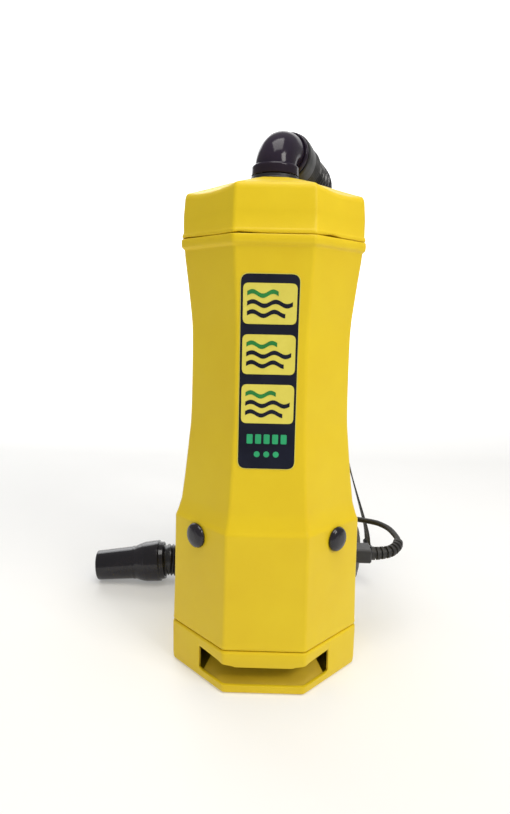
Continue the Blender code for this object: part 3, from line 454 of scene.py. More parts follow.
def strap_mesh(name, path, acrosses, widths, section, finish):
    """Sweep a section of (across, through) in shares of width; UVs run in metres."""
    vertices, uvs = [], []
    count = len(path)
    length = 0.0
    for i, centre in enumerate(path):
        along = (path[min(i + 1, count - 1)] - path[max(i - 1, 0)]).normalized()
        place = (len(acrosses) - 1) * i / (count - 1)
        k = min(int(place), len(acrosses) - 2)
        side = Vector(acrosses[k]).lerp(Vector(acrosses[k + 1]), place - k).normalized()
        face = along.cross(side).normalized()
        spot = (len(widths) - 1) * i / (count - 1)
        w = min(int(spot), len(widths) - 2)
        width = widths[w] + (widths[w + 1] - widths[w]) * (spot - w)
        if i:
            length += (centre - path[i - 1]).length
        for u, v in section:
            vertices.append(centre + side * (u * width / 2) + face * v)
            uvs.append((u * width / 2, length))
    faces = ring_faces(count, len(section), caps=True)
    obj = mesh_object(name, vertices, faces, finish, sharp=60.0, uvs=uvs)
    work = bmesh.new()
    work.from_mesh(obj.data)
    bmesh.ops.recalc_face_normals(work, faces=work.faces)
    work.to_mesh(obj.data)
    work.free()
    return obj


def flat_section(thick, steps=10):
    """A thin band's section, a little rounded at its two selvedges."""
    half = thick / 2
    top = [(-0.97 + 1.94 * i / steps, half) for i in range(steps + 1)]
    return [(-1, 0)] + top + [(1, 0)] + [(u, -v) for u, v in reversed(top)]


def soften_edges(name, width, segments=2, angle=35.0):
    """Round the edges of a CAD node that is shown as it is."""
    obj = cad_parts[name]
    bevel = obj.modifiers.new("soft_edges", "BEVEL")
    bevel.width = width
    bevel.segments = segments
    bevel.limit_method = "ANGLE"
    bevel.angle_limit = math.radians(angle)
    bevel.harden_normals = False
    return obj


def dress(finish, *names):
    for name in names:
        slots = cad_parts[name].material_slots
        for slot in slots:
            slot.link = "OBJECT"
            slot.material = finish


# ---------------------------------------------------------------- camera, floor and light

CAMERA_PLACE = (-0.009, -0.644, 0.393)
CAMERA_LENS = 25.2
CAMERA_TURNS = (0.62, -9.26, -1.25)
LAMPS = (
    ("key", (1.3, -1.2, 1.7), 0.7, 19.0, (1.0, 0.97, 0.92)),
    ("top", (0.1, -0.4, 2.0), 1.0, 16.0, (1.0, 0.98, 0.95)),
    ("back", (-1.0, 1.9, 1.5), 1.2, 12.0, (0.97, 0.98, 1.0)),
)

def make_stage():
    camera = bpy.data.objects.new("camera", bpy.data.cameras.new("camera"))
    bpy.context.scene.collection.objects.link(camera)
    camera.data.lens = CAMERA_LENS
    camera.data.sensor_width = 36.0
    yaw, pitch, roll = (math.radians(a) for a in CAMERA_TURNS)
    turn = (Matrix.Rotation(yaw, 4, "Z") @ Matrix.Rotation(pitch, 4, "X")
            @ Matrix.Rotation(roll, 4, "Y") @ Matrix.Rotation(math.pi / 2, 4, "X"))
    camera.matrix_world = Matrix.Translation(CAMERA_PLACE) @ turn
    bpy.context.scene.camera = camera

    floor_look = surface("floor_look", (0.72, 0.72, 0.71), 0.8, (0.70, 0.70, 0.69), patch=2.0,
                         grain=300.0, bump=0.05, depth=0.0002, specular=0.2)
    tree = floor_look.node_tree
    shader = tree.nodes["Principled BSDF"]
    shader.inputs["Emission Color"].default_value = (1, 1, 1, 1)
    place = tree.nodes.new("ShaderNodeTexCoord")
    axes = tree.nodes.new("ShaderNodeSeparateXYZ")
    glow = tree.nodes.new("ShaderNodeMapRange")
    glow.inputs["From Min"].default_value = 0.9
    glow.inputs["From Max"].default_value = 3.0
    glow.inputs["To Min"].default_value = 0.24
    glow.inputs["To Max"].default_value = 1.0
    tree.links.new(place.outputs["Object"], axes.inputs["Vector"])
    tree.links.new(axes.outputs["Y"], glow.inputs["Value"])
    tree.links.new(glow.outputs["Result"], shader.inputs["Emission Strength"])
    floor = mesh_object("floor", [(-6, -4, 0), (6, -4, 0), (6, 8, 0), (-6, 8, 0)], [(0, 1, 2, 3)],
                        floor_look)
    floor.location.z = -0.0004

    wall_look = bpy.data.materials.new("wall_look")
    wall_look.use_nodes = True
    shader = wall_look.node_tree.nodes["Principled BSDF"]
    shader.inputs["Emission Color"].default_value = (1, 1, 1, 1)
    shader.inputs["Emission Strength"].default_value = 0.9
    wall = mesh_object("wall", [(-9, 8, -1), (9, 8, -1), (9, 8, 9), (-9, 8, 9)], [(0, 1, 2, 3)],
                       wall_look)
    bpy.context.scene.view_settings.view_transform = "Standard"

    world = bpy.data.worlds.new("studio")
    bpy.context.scene.world = world
    world.use_nodes = True
    world.node_tree.nodes["Background"].inputs["Color"].default_value = (1.0, 0.99, 0.97, 1)
    world.node_tree.nodes["Background"].inputs["Strength"].default_value = 0.38
    for name, place, size, power, colour in LAMPS:
        lamp = bpy.data.lights.new(name, "AREA")
        lamp.size = size
        lamp.energy = power
        lamp.color = colour
        light = bpy.data.objects.new(name, lamp)
        bpy.context.scene.collection.objects.link(light)
        light.location = place
        aim = Vector((0, 0, 0.28)) - Vector(place)
        light.rotation_euler = aim.to_track_quat("-Z", "Y").to_euler()


# ---------------------------------------------------------------- hose and lead

def elbow_path(steps=20):
    points = [Vector((0, 0, ELBOW_START)), Vector((0, 0, (ELBOW_START + ELBOW_RISE) / 2))]
    for i in range(steps + 1):
        angle = ELBOW_TURN * i / steps
        out = ELBOW_BEND * (1 - math.cos(angle))
        points.append(ELBOW_HEADING * out + UP * (ELBOW_RISE + ELBOW_BEND * math.sin(angle)))
    points.append(points[-1] + OUTLET * ELBOW_TAIL)
    return points


def ribbed_radii(path):
    """The corrugated hose's radius at each point of a path."""
    radii = []
    travelled = 0.0
    for i, point in enumerate(path):
        if i:
            travelled += (point - path[i - 1]).length
        phase = travelled / HOSE_PITCH * 2 * math.pi
        radii.append(HOSE_RADIUS - 0.0013 + 0.0013 * math.tanh(1.6 * math.cos(phase)) / 0.92)
    return radii


def straight(start, along, step):
    """Points on the hose's straight tail, without its last one."""
    count = round(HOSE_TAIL / step)
    return [start + along * (HOSE_TAIL * i / count) for i in range(count)]


def make_hose():
    cuff_start = elbow_path()[-1] + OUTLET * GAP
    start = cuff_start + OUTLET * (CUFF_LENGTH + GAP)
    step = HOSE_PITCH / 4
    route = straight(start, OUTLET, step)
    route += smooth_route((tuple(start + OUTLET * HOSE_TAIL), *HOSE_POINTS), step)
    route += [point + END_CUFF_DIRECTION * step
              for point in straight(Vector(HOSE_POINTS[-1]), END_CUFF_DIRECTION, step)]
    split = round(len(route) * HOSE_SPLIT)
    upper, lower = route[:split + 1], route[split:]
    radii = ribbed_radii(route)

    top = swept_tube("hose_upper_ribbed", upper, radii[:split + 1], HOSE, inner=HOSE_RADIUS - 0.004)
    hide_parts("hose_upper")
    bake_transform(top)

    rest = swept_tube("hose_lower_ribbed", lower, radii[split:], HOSE, inner=HOSE_RADIUS - 0.004)
    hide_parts("hose_lower")
    end = route[-1]
    cuff = lathe("hose_end_fitting", [
        (0.0175, 0.0925), (0.0205, 0.0925), (0.0210, 0.0915), (0.0232, 0.0420), (0.0238, 0.0400),
        (0.0238, 0.0360), (0.0262, 0.0300), (0.0276, 0.0250), (0.0279, 0.0245), (0.0279, 0.0225),
        (0.0284, 0.0220), (0.0294, 0.0060), (0.0294, 0.0010), (0.0286, 0.0004), (0.0272, 0.0004),
        (0.0265, -0.0060), (0.0252, -0.0062), (0.0236, -0.0062), (0.0236, 0.0006),
        (0.0190, 0.0010)], GLOSS_BLACK, end + END_CUFF_DIRECTION * GAP * 2, END_CUFF_DIRECTION,
        steps=64, ease=0.0008)
    piece(cuff, "root", "hose_end_cuff")
    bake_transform(rest)

    threads = []
    for i in range(4):
        z = 0.0225 + i * 0.0036
        threads += [(0.0246, z), (0.0254, z + 0.0008), (0.0254, z + 0.0018), (0.0246, z + 0.0026)]
    cuff_top = lathe("hose_cuff_sleeve", [(0.0190, 0.0), (0.0266, 0.0), (0.0270, 0.0020),
                                          (0.0268, 0.0100), (0.0258, 0.0205)] + threads
                     + [(0.0243, CUFF_LENGTH - 0.001), (0.0236, CUFF_LENGTH), (0.0190, CUFF_LENGTH)],
                     BLACK, cuff_start, OUTLET, steps=56, ease=0.0005)
    piece(cuff_top, "elbow", "hose_cuff_top")


def make_lead():
    relief = smooth_route(RELIEF_POINTS, 0.0005)
    total = path_length(relief)
    radii = []
    travelled = 0.0
    for i, point in enumerate(relief):
        if i:
            travelled += (point - relief[i - 1]).length
        share = travelled / total
        base = 0.0080 + (0.0060 - 0.0080) * share
        groove = (travelled / 0.0062) % 1.0
        cut_in = 0.0022 if 0.62 < groove and 0.10 < share < 0.93 else 0.0
        radii.append(base - cut_in)
    sleeve = swept_tube("lead_relief_ribbed", relief, radii, RUBBER, sides=28, sharp=30.0)
    piece(sleeve, "root", "strain_relief")

    tip = relief[-1]
    ahead = (tip - relief[-2]).normalized()
    begin = tip + ahead * 0.0008
    route = smooth_route((tuple(begin), *LEAD_POINTS), 0.004)
    lead = swept_tube("lead_cable", route, [LEAD_RADIUS] * len(route), RUBBER, sides=14)
    piece(lead, "root", "switch_lead")


# ---------------------------------------------------------------- casing

def casing_outline():
    """Outside of the shell from its bottom edge up, sampled on a smooth curve."""
    waist = [(0.0, half, z) for z, half in CASING if z > 0.188]
    curve = [(p.y, p.z) for p in smooth_route(waist, 0.005)]
    low = [(0.1016, 0.0480), (0.1034, 0.0502), (0.1029, 0.0545), (0.1018, 0.0965),
           (0.1008, 0.1725), (0.0986, 0.1772), (0.0974, 0.1812)]
    return low, curve


def make_shell():
    low, curve = casing_outline()
    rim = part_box("body_shell")[1][2]
    half = 0.0947
    outer = rounded([(0.1000, 0.0480)] + low + curve[:1], 0.0018) + curve[1:-1]
    outer += rounded([curve[-2], (curve[-1][0], 0.4568), (half, 0.4588), (half + 0.0005, 0.4630),
                      (half, rim), (half - 0.005, rim)], 0.0014)[1:]
    inner = [(half - 0.005, 0.4546), (0.0862, 0.4544)]
    inner += [(w - WALL, z) for w, z in reversed(curve[:-1:3])]
    inner += [(w - WALL, z) for w, z in reversed(low[3:])] + [(0.1000, 0.0520)]
    shell = octagon_loft("casing_shell", outer + inner, YELLOW)
    piece(shell, "root", "body_shell")


def make_base():
    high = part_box("base_cap")[1][2]
    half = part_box("base_cap")[1][0]
    outer = rounded([(0.0, 0.0), (half - 0.0022, 0.0), (half - 0.0006, 0.0016), (half, 0.0080),
                     (half, high - 0.0020), (half - 0.0014, high), (half - WALL, high)], 0.0014)
    outline = [(half - 0.012, 0.0)] + outer[1:]
    outline += [(half - WALL, high - 0.003), (half - WALL, 0.0036), (half - WALL - 0.006, 0.0030),
                (0.03, 0.0030)]
    outline = [(0.03, 0.0)] + outline
    base = octagon_loft("base_shell", outline, YELLOW)
    fill_hub(base)
    mouth = [(-0.0700, 0.0115), (-0.0660, 0.0098), (0.0660, 0.0098), (0.0700, 0.0115),
             (0.0700, 0.0372), (0.0480, 0.0350), (0.0440, 0.0335), (0.0330, 0.0318),
             (0.0300, 0.0305), (-0.0300, 0.0305), (-0.0330, 0.0318), (-0.0440, 0.0335),
             (-0.0480, 0.0350), (-0.0700, 0.0372)]
    outline = rounded([(x, z, 0) for x, z in mouth], 0.0014, closed=True, steps=3)
    vertices = [(x, -0.13, z) for x, z, _ in outline] + [(x, -0.0735, z) for x, z, _ in outline]
    cutter = mesh_object("cut_mouth", vertices, ring_faces(2, len(outline), caps=True), YELLOW)
    tidy_normals(cutter)
    hole = base.modifiers.new("mouth", "BOOLEAN")
    hole.operation = "DIFFERENCE"
    hole.object = cutter
    hole.solver = "EXACT"
    apply_modifiers(base)
    bpy.data.objects.remove(cutter, do_unlink=True)
    # Painted shade: the base's inner walls and floor take the black finish, so the inside of the mouth's
    # ends reads dark
    base.data.materials.append(BLACK)
    for face in base.data.polygons:
        reach = max(abs(face.center.x), abs(face.center.y),
                    (abs(face.center.x) + abs(face.center.y)) * DIAGONAL)
        inward = face.normal.x * face.center.x + face.normal.y * face.center.y < -0.01
        if reach < half - WALL + 0.0004 and inward and face.center.z > 0.0036:
            face.material_index = 1
    bevel = bevelled(base, 0.0006)
    bevel.limit_method = "ANGLE"
    bevel.angle_limit = math.radians(50)
    piece(base, "root", "base_cap")


def make_deflector():
    """A ramp that rises from the base's front edges to a straight crest."""
    plan = [(-0.0658, -0.0760), (-0.0415, -0.1003), (0.0415, -0.1003), (0.0658, -0.0760),
            (0.0520, -0.0566), (-0.0520, -0.0566)]
    tops = (0.0085, 0.0085, 0.0085, 0.0085, 0.0290, 0.0290)
    vertices = [(x, y, 0.0036) for x, y in plan] + [(x, y, z) for (x, y), z in zip(plan, tops)]
    faces = [(0, 5, 4, 3, 2, 1), (0, 1, 7, 6), (1, 2, 8, 7), (2, 3, 9, 8), (3, 4, 10, 9),
             (4, 5, 11, 10), (5, 0, 6, 11), (6, 7, 11), (7, 8, 10, 11), (8, 9, 10)]
    # The ramp is the same yellow plastic; its darker copy is painted shade
    ramp = mesh_object("deflector_ramp", vertices, faces, SHADED_YELLOW)
    tidy_normals(ramp)
    bevelled(ramp, 0.0008)
    piece(ramp, "root", "exhaust_deflector")


def fill_rims(work):
    rims = [e for e in work.edges if len(e.link_faces) == 1]
    bmesh.ops.holes_fill(work, edges=rims, sides=200)


def fill_hub(obj):
    """Close the round-cornered hub that the loft leaves at the middle of a plate."""
    work = bmesh.new()
    work.from_mesh(obj.data)
    bmesh.ops.remove_doubles(work, verts=work.verts, dist=0.00001)
    fill_rims(work)
    vertical = [f for f in work.faces if abs(f.normal.z) < 0.3
                and all(math.hypot(v.co.x, v.co.y) < HUB_RADIUS for v in f.verts)]
    bmesh.ops.delete(work, geom=vertical, context="FACES")
    fill_rims(work)
    bmesh.ops.recalc_face_normals(work, faces=work.faces)
    work.to_mesh(obj.data)
    work.free()


def apply_modifiers(obj):
    bpy.context.view_layer.update()
    evaluated = obj.evaluated_get(bpy.context.evaluated_depsgraph_get())
    mesh = bpy.data.meshes.new_from_object(evaluated)
    old = obj.data
    obj.modifiers.clear()
    obj.data = mesh
    bpy.data.meshes.remove(old)


def lid_lift(half, z, angle):
    """The rim dips on the angled facets and the sides; the lower edge gapes in three places."""
    if z > 0.505 and half > 0.05:
        share = min(1.0, (half - 0.05) / 0.03)
        dip = max(0.0, -math.cos(4 * angle)) ** 0.8
        return -share * (0.0040 * dip + 0.0022 * math.cos(angle) ** 4)
    if z < 0.4705:
        gape = sum(math.exp(-((math.degrees(angle) - at) / 5.5) ** 2) for at in SEAM_GAPES)
        return -0.0011 + 0.0016 * min(1.0, gape)
    return 0.0


def make_lid():
    low, high = (corner[2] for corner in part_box("lid"))
    outer = rounded([(0.0810, low), (0.0934, low), (0.0944, low + 0.0010), (0.0940, low + 0.0026),
                     (0.0932, low + 0.0040)], 0.0008)
    outer += rounded([(0.0932, low + 0.0040), (0.0930, 0.4900), (0.0915, 0.5100),
                      (0.0898, 0.5142), (0.0850, 0.5158), (0.0700, 0.5203), (0.0520, 0.5258),
                      (0.0330, high - 0.0012), (0.0285, high), (0.0220, high)], 0.0019)[1:]
    inner = [(0.0220, high - 0.003), (0.0300, high - 0.003), (0.0500, 0.5226), (0.0860, 0.5110),
             (0.0890, 0.5080), (0.0908, 0.4726), (0.0810, 0.4724)]
    lid = octagon_loft("lid_cap", outer + inner, YELLOW, lift=lid_lift)
    piece(lid, "lid", "lid")

    ring = lathe("swivel_ring_turned", [(0.0208, 0.0003), (0.0268, 0.0003), (0.0267, 0.0014),
                                        (0.0256, 0.0019), (0.0256, 0.0048), (0.0208, 0.0048)],
                 BLACK, (0, 0, high), steps=64, ease=0.0004)
    piece(ring, "lid", "swivel_ring")


def make_elbow():
    path = elbow_path()
    radius = 0.0225
    elbow = swept_tube("elbow_tube", path, [radius] * len(path), SMOKE, sides=64,
                       inner=radius - 0.0025)
    piece(elbow, "elbow", "elbow")
    collar = lathe("elbow_collar", [(0.0229, 0.0), (0.0255, 0.0), (0.0255, 0.0084),
                                    (0.0248, 0.0098), (0.0236, 0.0106), (0.0229, 0.0106)],
                   SMOKE, (0, 0, ELBOW_START), steps=64, ease=0.0009)
    piece(collar, "elbow", "swivel_nut")
    rim = lathe("elbow_outlet_rim", [(0.0229, -0.0055), (0.0250, -0.0052), (0.0256, -0.0035),
                                     (0.0256, -0.0008), (0.0250, -0.0001), (0.0229, -0.0001)],
                SMOKE, path[-1], OUTLET, steps=64, ease=0.0008)
    piece(rim, "elbow")


def make_caps():
    dome = [(0.0, 0.0071), (0.0055, 0.0068), (0.0096, 0.0057), (0.0122, 0.0040), (0.0133, 0.0020),
            (0.0135, 0.0001), (0.0, 0.0001)]
    for side, word in ((-1, "left"), (1, "right")):
        out = Vector((side * DIAGONAL, -DIAGONAL, 0))
        outward = Vector((side * DIAGONAL, DIAGONAL, 0))
        origin = out * (casing_half(CAP_HEIGHT) + 0.0005) + outward * CAP_SHIFT + UP * CAP_HEIGHT
        cap = lathe(f"cap_{word}_domed", dome, GLOSS_BLACK, origin, out, steps=48, closed=False,
                    ease=0.0012)
        piece(cap, "root", f"screw_cap_{word}")


# ---------------------------------------------------------------- label

def on_front(outline, name, lift, finish):
    """A printed shape of (x, z) laid on the front facet, bent to its curve."""
    work = bmesh.new()
    corners = [work.verts.new((x, 0, z)) for x, z in outline]
    work.faces.new(corners)
    lowest = min(z for _, z in outline)
    highest = max(z for _, z in outline)
    level = lowest + 0.004
    while level < highest:
        geometry = work.verts[:] + work.edges[:] + work.faces[:]
        bmesh.ops.bisect_plane(work, geom=geometry, plane_co=(0, 0, level), plane_no=(0, 0, 1))
        level += 0.004
    bmesh.ops.triangulate(work, faces=work.faces)
    raised = bmesh.ops.extrude_face_region(work, geom=work.faces[:])
    top = {v for v in raised["geom"] if isinstance(v, bmesh.types.BMVert)}
    for vertex in work.verts:
        proud = lift + (0.00012 if vertex in top else 0.0)
        vertex.co.y = -(front_half(vertex.co.z) + proud)
    bmesh.ops.recalc_face_normals(work, faces=work.faces)
    mesh = bpy.data.meshes.new(name)
    work.to_mesh(mesh)
    work.free()
    obj = bpy.data.objects.new(name, mesh)
    bpy.context.scene.collection.objects.link(obj)
    mesh.shade_smooth()
    mesh.set_sharp_from_angle(angle=math.radians(30))
    mesh.materials.append(finish)
    return piece(obj, "root")


WAIST_CURVE = casing_outline()[1]


def front_half(z):
    for (w0, z0), (w1, z1) in zip(WAIST_CURVE, WAIST_CURVE[1:]):
        if z <= z1:
            return w0 + (w1 - w0) * (z - z0) / (z1 - z0)
    return WAIST_CURVE[-1][0]


def slab(x0, z0, x1, z1, radius):
    return rounded([(x0, z0), (x1, z0), (x1, z1), (x0, z1)], radius, closed=True, steps=6)


def ribbon(x0, x1, z, height, wave, thick):
    """A wavy bar, the sign for moving air."""
    steps = 28
    line = [(x0 + (x1 - x0) * i / steps,
             z + height * math.sin(2 * math.pi * wave * i / steps)) for i in range(steps + 1)]
    return ([(x, y - thick / 2) for x, y in line]
            + [(x, y + thick / 2) for x, y in reversed(line)])


def make_label():
    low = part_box("label_panel")[0]
    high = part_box("label_panel")[1]
    x0, x1, z0, z1 = low[0], high[0], low[2], high[2]
    border = on_front(slab(x0 - 0.0008, z0 - 0.0008, x1 + 0.0008, z1 + 0.0008, 0.0085),
                      "label_edge", 0.0002, PRINT_YELLOW)
    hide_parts("label_panel")
    on_front(slab(x0, z0, x1, z1, 0.008), "label_ground", 0.00045, NAVY)
    margin = 0.0022
    tile_high = 0.0390
    for i in range(3):
        top = z1 - 0.0085 - i * 0.0490
        tile = slab(x0 + margin, top - tile_high, x1 - margin, top, 0.0055)
        on_front(tile, f"label_tile_{i + 1}", 0.0007, PRINT_YELLOW)
        left, right = x0 + 0.0062, x1 - 0.0062
        on_front(ribbon(left, right - 0.014, top - 0.0100, 0.0020, 1.5, 0.0042),
                 f"label_air_green_{i + 1}", 0.0009, PRINT_GREEN)
        on_front(ribbon(left, right, top - 0.0195, 0.0020, 2.0, 0.0042),
                 f"label_air_dark_{i + 1}", 0.0009, NAVY)
        on_front(ribbon(left, right - 0.007, top - 0.0290, 0.0020, 1.75, 0.0042),
                 f"label_air_low_{i + 1}", 0.0009, NAVY)
    middle = (x0 + x1) / 2
    for i in range(5):
        x = middle + (i - 2) * 0.0085
        on_front(slab(x - 0.0030, z0 + 0.0250, x + 0.0030, z0 + 0.0345, 0.0012),
                 f"label_pleat_{i + 1}", 0.0007, PRINT_MINT)
    for i in range(3):
        x = middle + (i - 1) * 0.0095
        dot = [(x + 0.0030 * math.cos(a * math.pi / 12), z0 + 0.0145 + 0.0030 * math.sin(a * math.pi / 12))
               for a in range(24)]
        on_front(dot, f"label_dot_{i + 1}", 0.0007, PRINT_MINT)


# ---------------------------------------------------------------- harness

PAD_FRONT = 0.1123
PAD_GAP = 0.0026
PIPING_LIFT = 0.0062


def cloth_pad(name, outline, thickness, front, finish, grooves, node_name):
    """A padded cushion: a slab swollen by pressure, then sewn along its grooves."""
    work = bmesh.new()
    corners = [work.verts.new((x, front + 0.0025, z)) for x, z in outline]
    face = work.faces.new(corners)
    raised = bmesh.ops.extrude_face_region(work, geom=[face])
    for vertex in [g for g in raised["geom"] if isinstance(g, bmesh.types.BMVert)]:
        vertex.co.y = front + thickness - 0.0045
    bmesh.ops.recalc_face_normals(work, faces=work.faces)
    mesh = bpy.data.meshes.new(name)
    work.to_mesh(mesh)
    work.free()
    obj = bpy.data.objects.new(name, mesh)
    bpy.context.scene.collection.objects.link(obj)
    remesh = obj.modifiers.new("voxels", "REMESH")
    remesh.mode = "VOXEL"
    remesh.voxel_size = 0.0045
    apply_modifiers(obj)
    start = [v.co.copy() for v in obj.data.vertices]
    cloth = obj.modifiers.new("cloth", "CLOTH")
    cloth.settings.use_pressure = True
    cloth.settings.uniform_pressure_force = 4.0
    cloth.settings.effector_weights.gravity = 0.0
    cloth.settings.tension_stiffness = 15.0
    cloth.settings.compression_stiffness = 15.0
    scene = bpy.context.scene
    for number in range(1, 21):
        scene.frame_set(number)
    apply_modifiers(obj)
    scene.frame_set(1)
    low_y, high_y = front + 0.0004, front + thickness - 0.0004
    for vertex, old in zip(obj.data.vertices, start):
        move = vertex.co - old
        if move.length > 0.006:
            move = move.normalized() * 0.006
        vertex.co = old + move
        vertex.co.y = min(high_y, max(low_y, vertex.co.y))
        edge = min(abs(vertex.co.x - s) for s in grooves[0]) if grooves[0] else 1.0
        edge = min([edge] + [abs(vertex.co.z - s) for s in grooves[1]])
        if vertex.co.y > front + thickness * 0.45:
            vertex.co.y -= 0.0055 * math.exp(-(edge / 0.0042) ** 2)
    smooth = obj.modifiers.new("subdivide", "SUBSURF")
    smooth.levels = 1
    smooth.render_levels = 1
    obj.data.materials.append(finish)
    obj.data.shade_smooth()
    piece(obj, "root", node_name)
    return obj


def rounded_rectangle(half_x, low, high, radius):
    return rounded([(half_x, low), (half_x, high), (-half_x, high), (-half_x, low)], radius,
                   closed=True, steps=8)


def piping(name, outline, y, radius):
    """A round binding along a pad's outline."""
    path = [Vector((x, y, z)) for x, z in outline]
    path.append(path[0].copy())
    obj = swept_tube(name, path, [radius] * len(path), BINDING, sides=10)
    return piece(obj, "root")


def stitches(name, path, sides_of, offset, face_lift, spacing=0.0042, length=0.0028, radius=0.00035):
    """A row of thread stitches beside a path; sides_of gives (across, face) at each point."""
    vertices, faces = [], []
    travelled, wanted = 0.0, spacing
    for i in range(1, len(path)):
        travelled += (path[i] - path[i - 1]).length
        if travelled < wanted:
            continue
        wanted += spacing
        across, face = sides_of(i)
        along = (path[i] - path[i - 1]).normalized()
        middle = path[i] + across * offset + face * face_lift
        base = len(vertices)
        for end, size in ((-0.5, 0.4), (-0.35, 1.0), (0.35, 1.0), (0.5, 0.4)):
            for k in range(6):
                angle = math.pi / 3 * k
                vertices.append(middle + along * (length * end)
                                + (across * math.cos(angle) + face * math.sin(angle)) * radius * size)
        for ring in range(3):
            for k in range(6):
                n = (k + 1) % 6
                a, b = base + ring * 6, base + ring * 6 + 6
                faces.append((a + k, a + n, b + n, b + k))
        faces.append(tuple(base + k for k in range(6))[::-1])
        faces.append(tuple(base + 18 + k for k in range(6)))
    return piece(mesh_object(name, vertices, faces, THREAD), "root")


SHOULDER = ((0.058, 0.1172, 0.4400), (0.063, 0.1180, 0.4700), (0.072, 0.1240, 0.5080),
            (0.086, 0.1380, 0.5270), (0.091, 0.1560, 0.5330), (0.088, 0.1770, 0.5230))
FALL_RIGHT = ((0.080, 0.1920, 0.4900), (0.079, 0.1960, 0.4300), (0.082, 0.1920, 0.3700),
              (0.091, 0.1820, 0.3120), (0.100, 0.1720, 0.2680))
FALL_LEFT = ((0.080, 0.1920, 0.4900), (0.077, 0.1960, 0.4300), (0.074, 0.1930, 0.3700),
             (0.072, 0.1850, 0.3120), (0.071, 0.1770, 0.2680))
TILT = ((1, 0, 0), (0.95, 0, 0.2), (0.87, 0, 0.5), (0.95, 0, 0.2), (1, 0.1, 0),
        (0.95, 0.3, 0), (0.8, 0.5, 0))
STRAP_WIDTHS = (0.040, 0.042, 0.042, 0.042, 0.042, 0.042, 0.032)
WEB_RIGHT = ((0.0990, 0.1728, 0.2740), (0.1020, 0.1700, 0.2560), (0.1085, 0.1670, 0.2250),
             (0.1180, 0.1650, 0.1900), (0.1290, 0.1630, 0.1530), (0.1410, 0.1610, 0.1150),
             (0.1500, 0.1590, 0.0850), (0.1530, 0.1570, 0.0650))
WEB_LEFT = ((-0.0708, 0.1780, 0.2740), (-0.0710, 0.1750, 0.2560), (-0.0730, 0.1710, 0.2320),
            (-0.0790, 0.1680, 0.2080), (-0.0870, 0.1650, 0.1840), (-0.0955, 0.1620, 0.1610))
EDGE_ON = ((0.45, 0.9, 0), (0.1, 1, 0), (-0.12, 1, 0))
BELT_RIGHT = ((0.0655, 0.1205, 0.0780), (0.0960, 0.1235, 0.0670), (0.1225, 0.1310, 0.0560),
              (0.1365, 0.1500, 0.0500), (0.1320, 0.1850, 0.0530), (0.1145, 0.2180, 0.0620),
              (0.0900, 0.2450, 0.0720))
BELT_LEFT = ((-0.0655, 0.1205, 0.0850), (-0.0880, 0.1240, 0.0930), (-0.1040, 0.1380, 0.0980),
             (-0.1080, 0.1650, 0.1000), (-0.1020, 0.2000, 0.1010), (-0.0820, 0.2340, 0.1010))
BELT_WEB_RIGHT = ((0.0885, 0.2465, 0.0725), (0.0660, 0.2640, 0.0790), (0.0420, 0.2740, 0.0860),
                  (0.0262, 0.2760, 0.0900))
BELT_WEB_LEFT = ((-0.0805, 0.2360, 0.1008), (-0.0620, 0.2580, 0.0970), (-0.0420, 0.2730, 0.0920),
                 (-0.0282, 0.2760, 0.0900))


def eased(values, share):
    place = (len(values) - 1) * share
    k = min(int(place), len(values) - 2)
    return Vector(values[k]).lerp(Vector(values[k + 1]), place - k)


def padded_section(thick):
    """A padded strap's section: two crowned channels, pinched at the seams and edges."""
    top = []
    steps = 22
    for i in range(steps + 1):
        u = -1 + 2 * i / steps
        crown = (1 - abs(u) ** 3.2) ** 0.55
        pinch = 1 - 0.42 * math.exp(-(abs(u) / 0.07) ** 2)
        edge = 1 - 0.35 * math.exp(-((abs(u) - 0.80) / 0.06) ** 2)
        top.append((u * 0.97, max(0.0006, thick / 2 * crown * pinch * edge)))
    return top + [(u, -v) for u, v in reversed(top)]


def padded_strap(name, points, acrosses, widths, thick, finish, node_name):
    path = smooth_route(points, 0.004)
    obj = strap_mesh(name, path, acrosses, widths, padded_section(thick), finish)
    piece(obj, "root", node_name)
    count = len(path) - 1

    def at(i, sign):
        share = i / count
        along = (path[min(i + 1, count)] - path[max(i - 1, 0)]).normalized()
        across = eased(acrosses, share).normalized()
        width = eased([(w, 0, 0) for w in widths], share).x
        return across * sign, along.cross(across).normalized(), width

    for sign, word in ((-1, "inner"), (1, "outer")):
        edge = [path[i] + at(i, sign)[0] * (at(i, sign)[2] / 2 * 0.955) for i in range(count + 1)]
        bound = swept_tube(f"{name}_binding_{word}", edge, [0.0013] * len(edge), BINDING, sides=10)
        piece(bound, "root")
        for face_sign, face_word in ((1, "a"), (-1, "b")):
            stitches(f"{name}_stitch_{word}_{face_word}", path,
                     lambda i, s=sign, f=face_sign: (at(i, s)[0], at(i, s)[1] * f),
                     widths[1] / 2 * 0.80, thick / 2 * 0.55)
    return obj


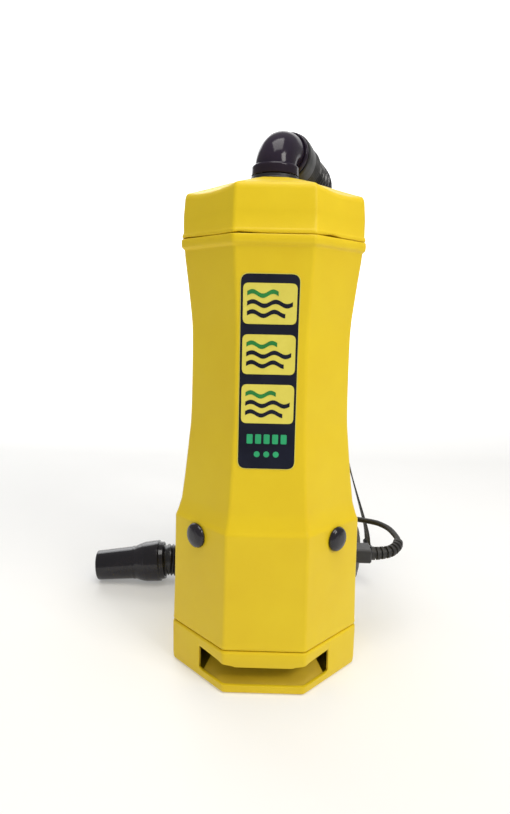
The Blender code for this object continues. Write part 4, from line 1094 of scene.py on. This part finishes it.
def make_harness():
    back = rounded_rectangle(0.0655, 0.1725, 0.4245, 0.022)
    cloth_pad("back_cushion", back, 0.0160, PAD_FRONT + PAD_GAP, AIR_MESH,
              ([-0.022, 0.022], [0.235, 0.298, 0.361]), "back_pad")
    piping("back_cushion_piping", rounded_rectangle(0.0645, 0.1735, 0.4235, 0.021),
           PAD_FRONT + PIPING_LIFT, 0.0016)
    lumbar = rounded_rectangle(0.0635, 0.0405, 0.1275, 0.014)
    cloth_pad("lumbar_cushion", lumbar, 0.0160, PAD_FRONT + PAD_GAP, AIR_MESH,
              ([-0.021, 0.021], []), "lumbar_pad")
    piping("lumbar_cushion_piping", rounded_rectangle(0.0625, 0.0415, 0.1265, 0.013),
           PAD_FRONT + PIPING_LIFT, 0.0016)

    band = flat_section(0.0018)
    wide_band = flat_section(0.0020)
    for side, word, fall, web in ((1, "right", FALL_RIGHT, WEB_RIGHT),
                                  (-1, "left", FALL_LEFT, WEB_LEFT)):
        flip = [(side * x, y, z) for x, y, z in SHOULDER + fall]
        tilt = [(side * x, y, z) for x, y, z in TILT]
        padded_strap(f"shoulder_pad_{word}", flip, tilt, STRAP_WIDTHS, 0.0080, CORDURA,
                     f"shoulder_strap_{word}")
        turn = [(side * x, y, z) for x, y, z in EDGE_ON]
        webbing = strap_mesh(f"webbing_{word}", smooth_route(web, 0.005), turn, (0.025, 0.025),
                             band, WEBBING)
        piece(webbing, "root", f"strap_webbing_{word}")
    up = ((0, 0, 1), (0, 0, 1))
    padded_strap("belt_wing_right", BELT_RIGHT, up, (0.070, 0.074, 0.046), 0.0090, CORDURA,
                 "waist_belt_right")
    padded_strap("belt_wing_left", BELT_LEFT, up, (0.070, 0.072, 0.046), 0.0090, CORDURA,
                 "waist_belt_left")
    for word, points in (("right", BELT_WEB_RIGHT), ("left", BELT_WEB_LEFT)):
        webbing = strap_mesh(f"belt_web_{word}", smooth_route(points, 0.004), up, (0.036, 0.036),
                             wide_band, WEBBING)
        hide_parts(f"belt_webbing_{word}")
        if word == "left":
            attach(webbing, "root")
        else:
            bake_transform(webbing)


# ---------------------------------------------------------------- CAD pieces that stay

def dress_cad():
    dress(MEDIA, "exhaust_filter")
    dress(BLACK, "motor_cradle", "motor_shelf", "filter_ring", "inlet_tube", "cord_gland",
          "switch_box", "mains_gland", "harness_frame", "strap_lock_left", "strap_lock_right",
          "buckle_socket", "buckle_plug", "latch_left", "latch_right", "latch_bracket_left",
          "latch_bracket_right")
    dress(RUBBER, "lid_gasket", "rocker_switch")
    dress(STEEL, "motor_bearing", "motor_shaft", "fan_housing", "frame_screw_1", "frame_screw_2",
          "frame_screw_3", "frame_screw_4", "latch_pin_left", "latch_pin_right")
    dress(COPPER, "stator", "armature")
    dress(ALLOY, "motor_frame", "fan_wheel")
    dress(CLOTH, "cloth_filter")
    dress(PAPER, "dust_bag")
    for name, width in (("cord_gland", 0.0012), ("switch_box", 0.0012), ("harness_frame", 0.0012),
                        ("strap_lock_left", 0.0008), ("strap_lock_right", 0.0008),
                        ("buckle_socket", 0.0010), ("buckle_plug", 0.0008), ("latch_left", 0.0007),
                        ("latch_right", 0.0007), ("latch_bracket_left", 0.0006),
                        ("latch_bracket_right", 0.0006), ("rocker_switch", 0.0007)):
        soften_edges(name, width)


make_stage()
make_hose()
make_lead()
make_shell()
make_base()
make_deflector()
make_lid()
make_elbow()
make_caps()
make_label()
make_harness()
dress_cad()
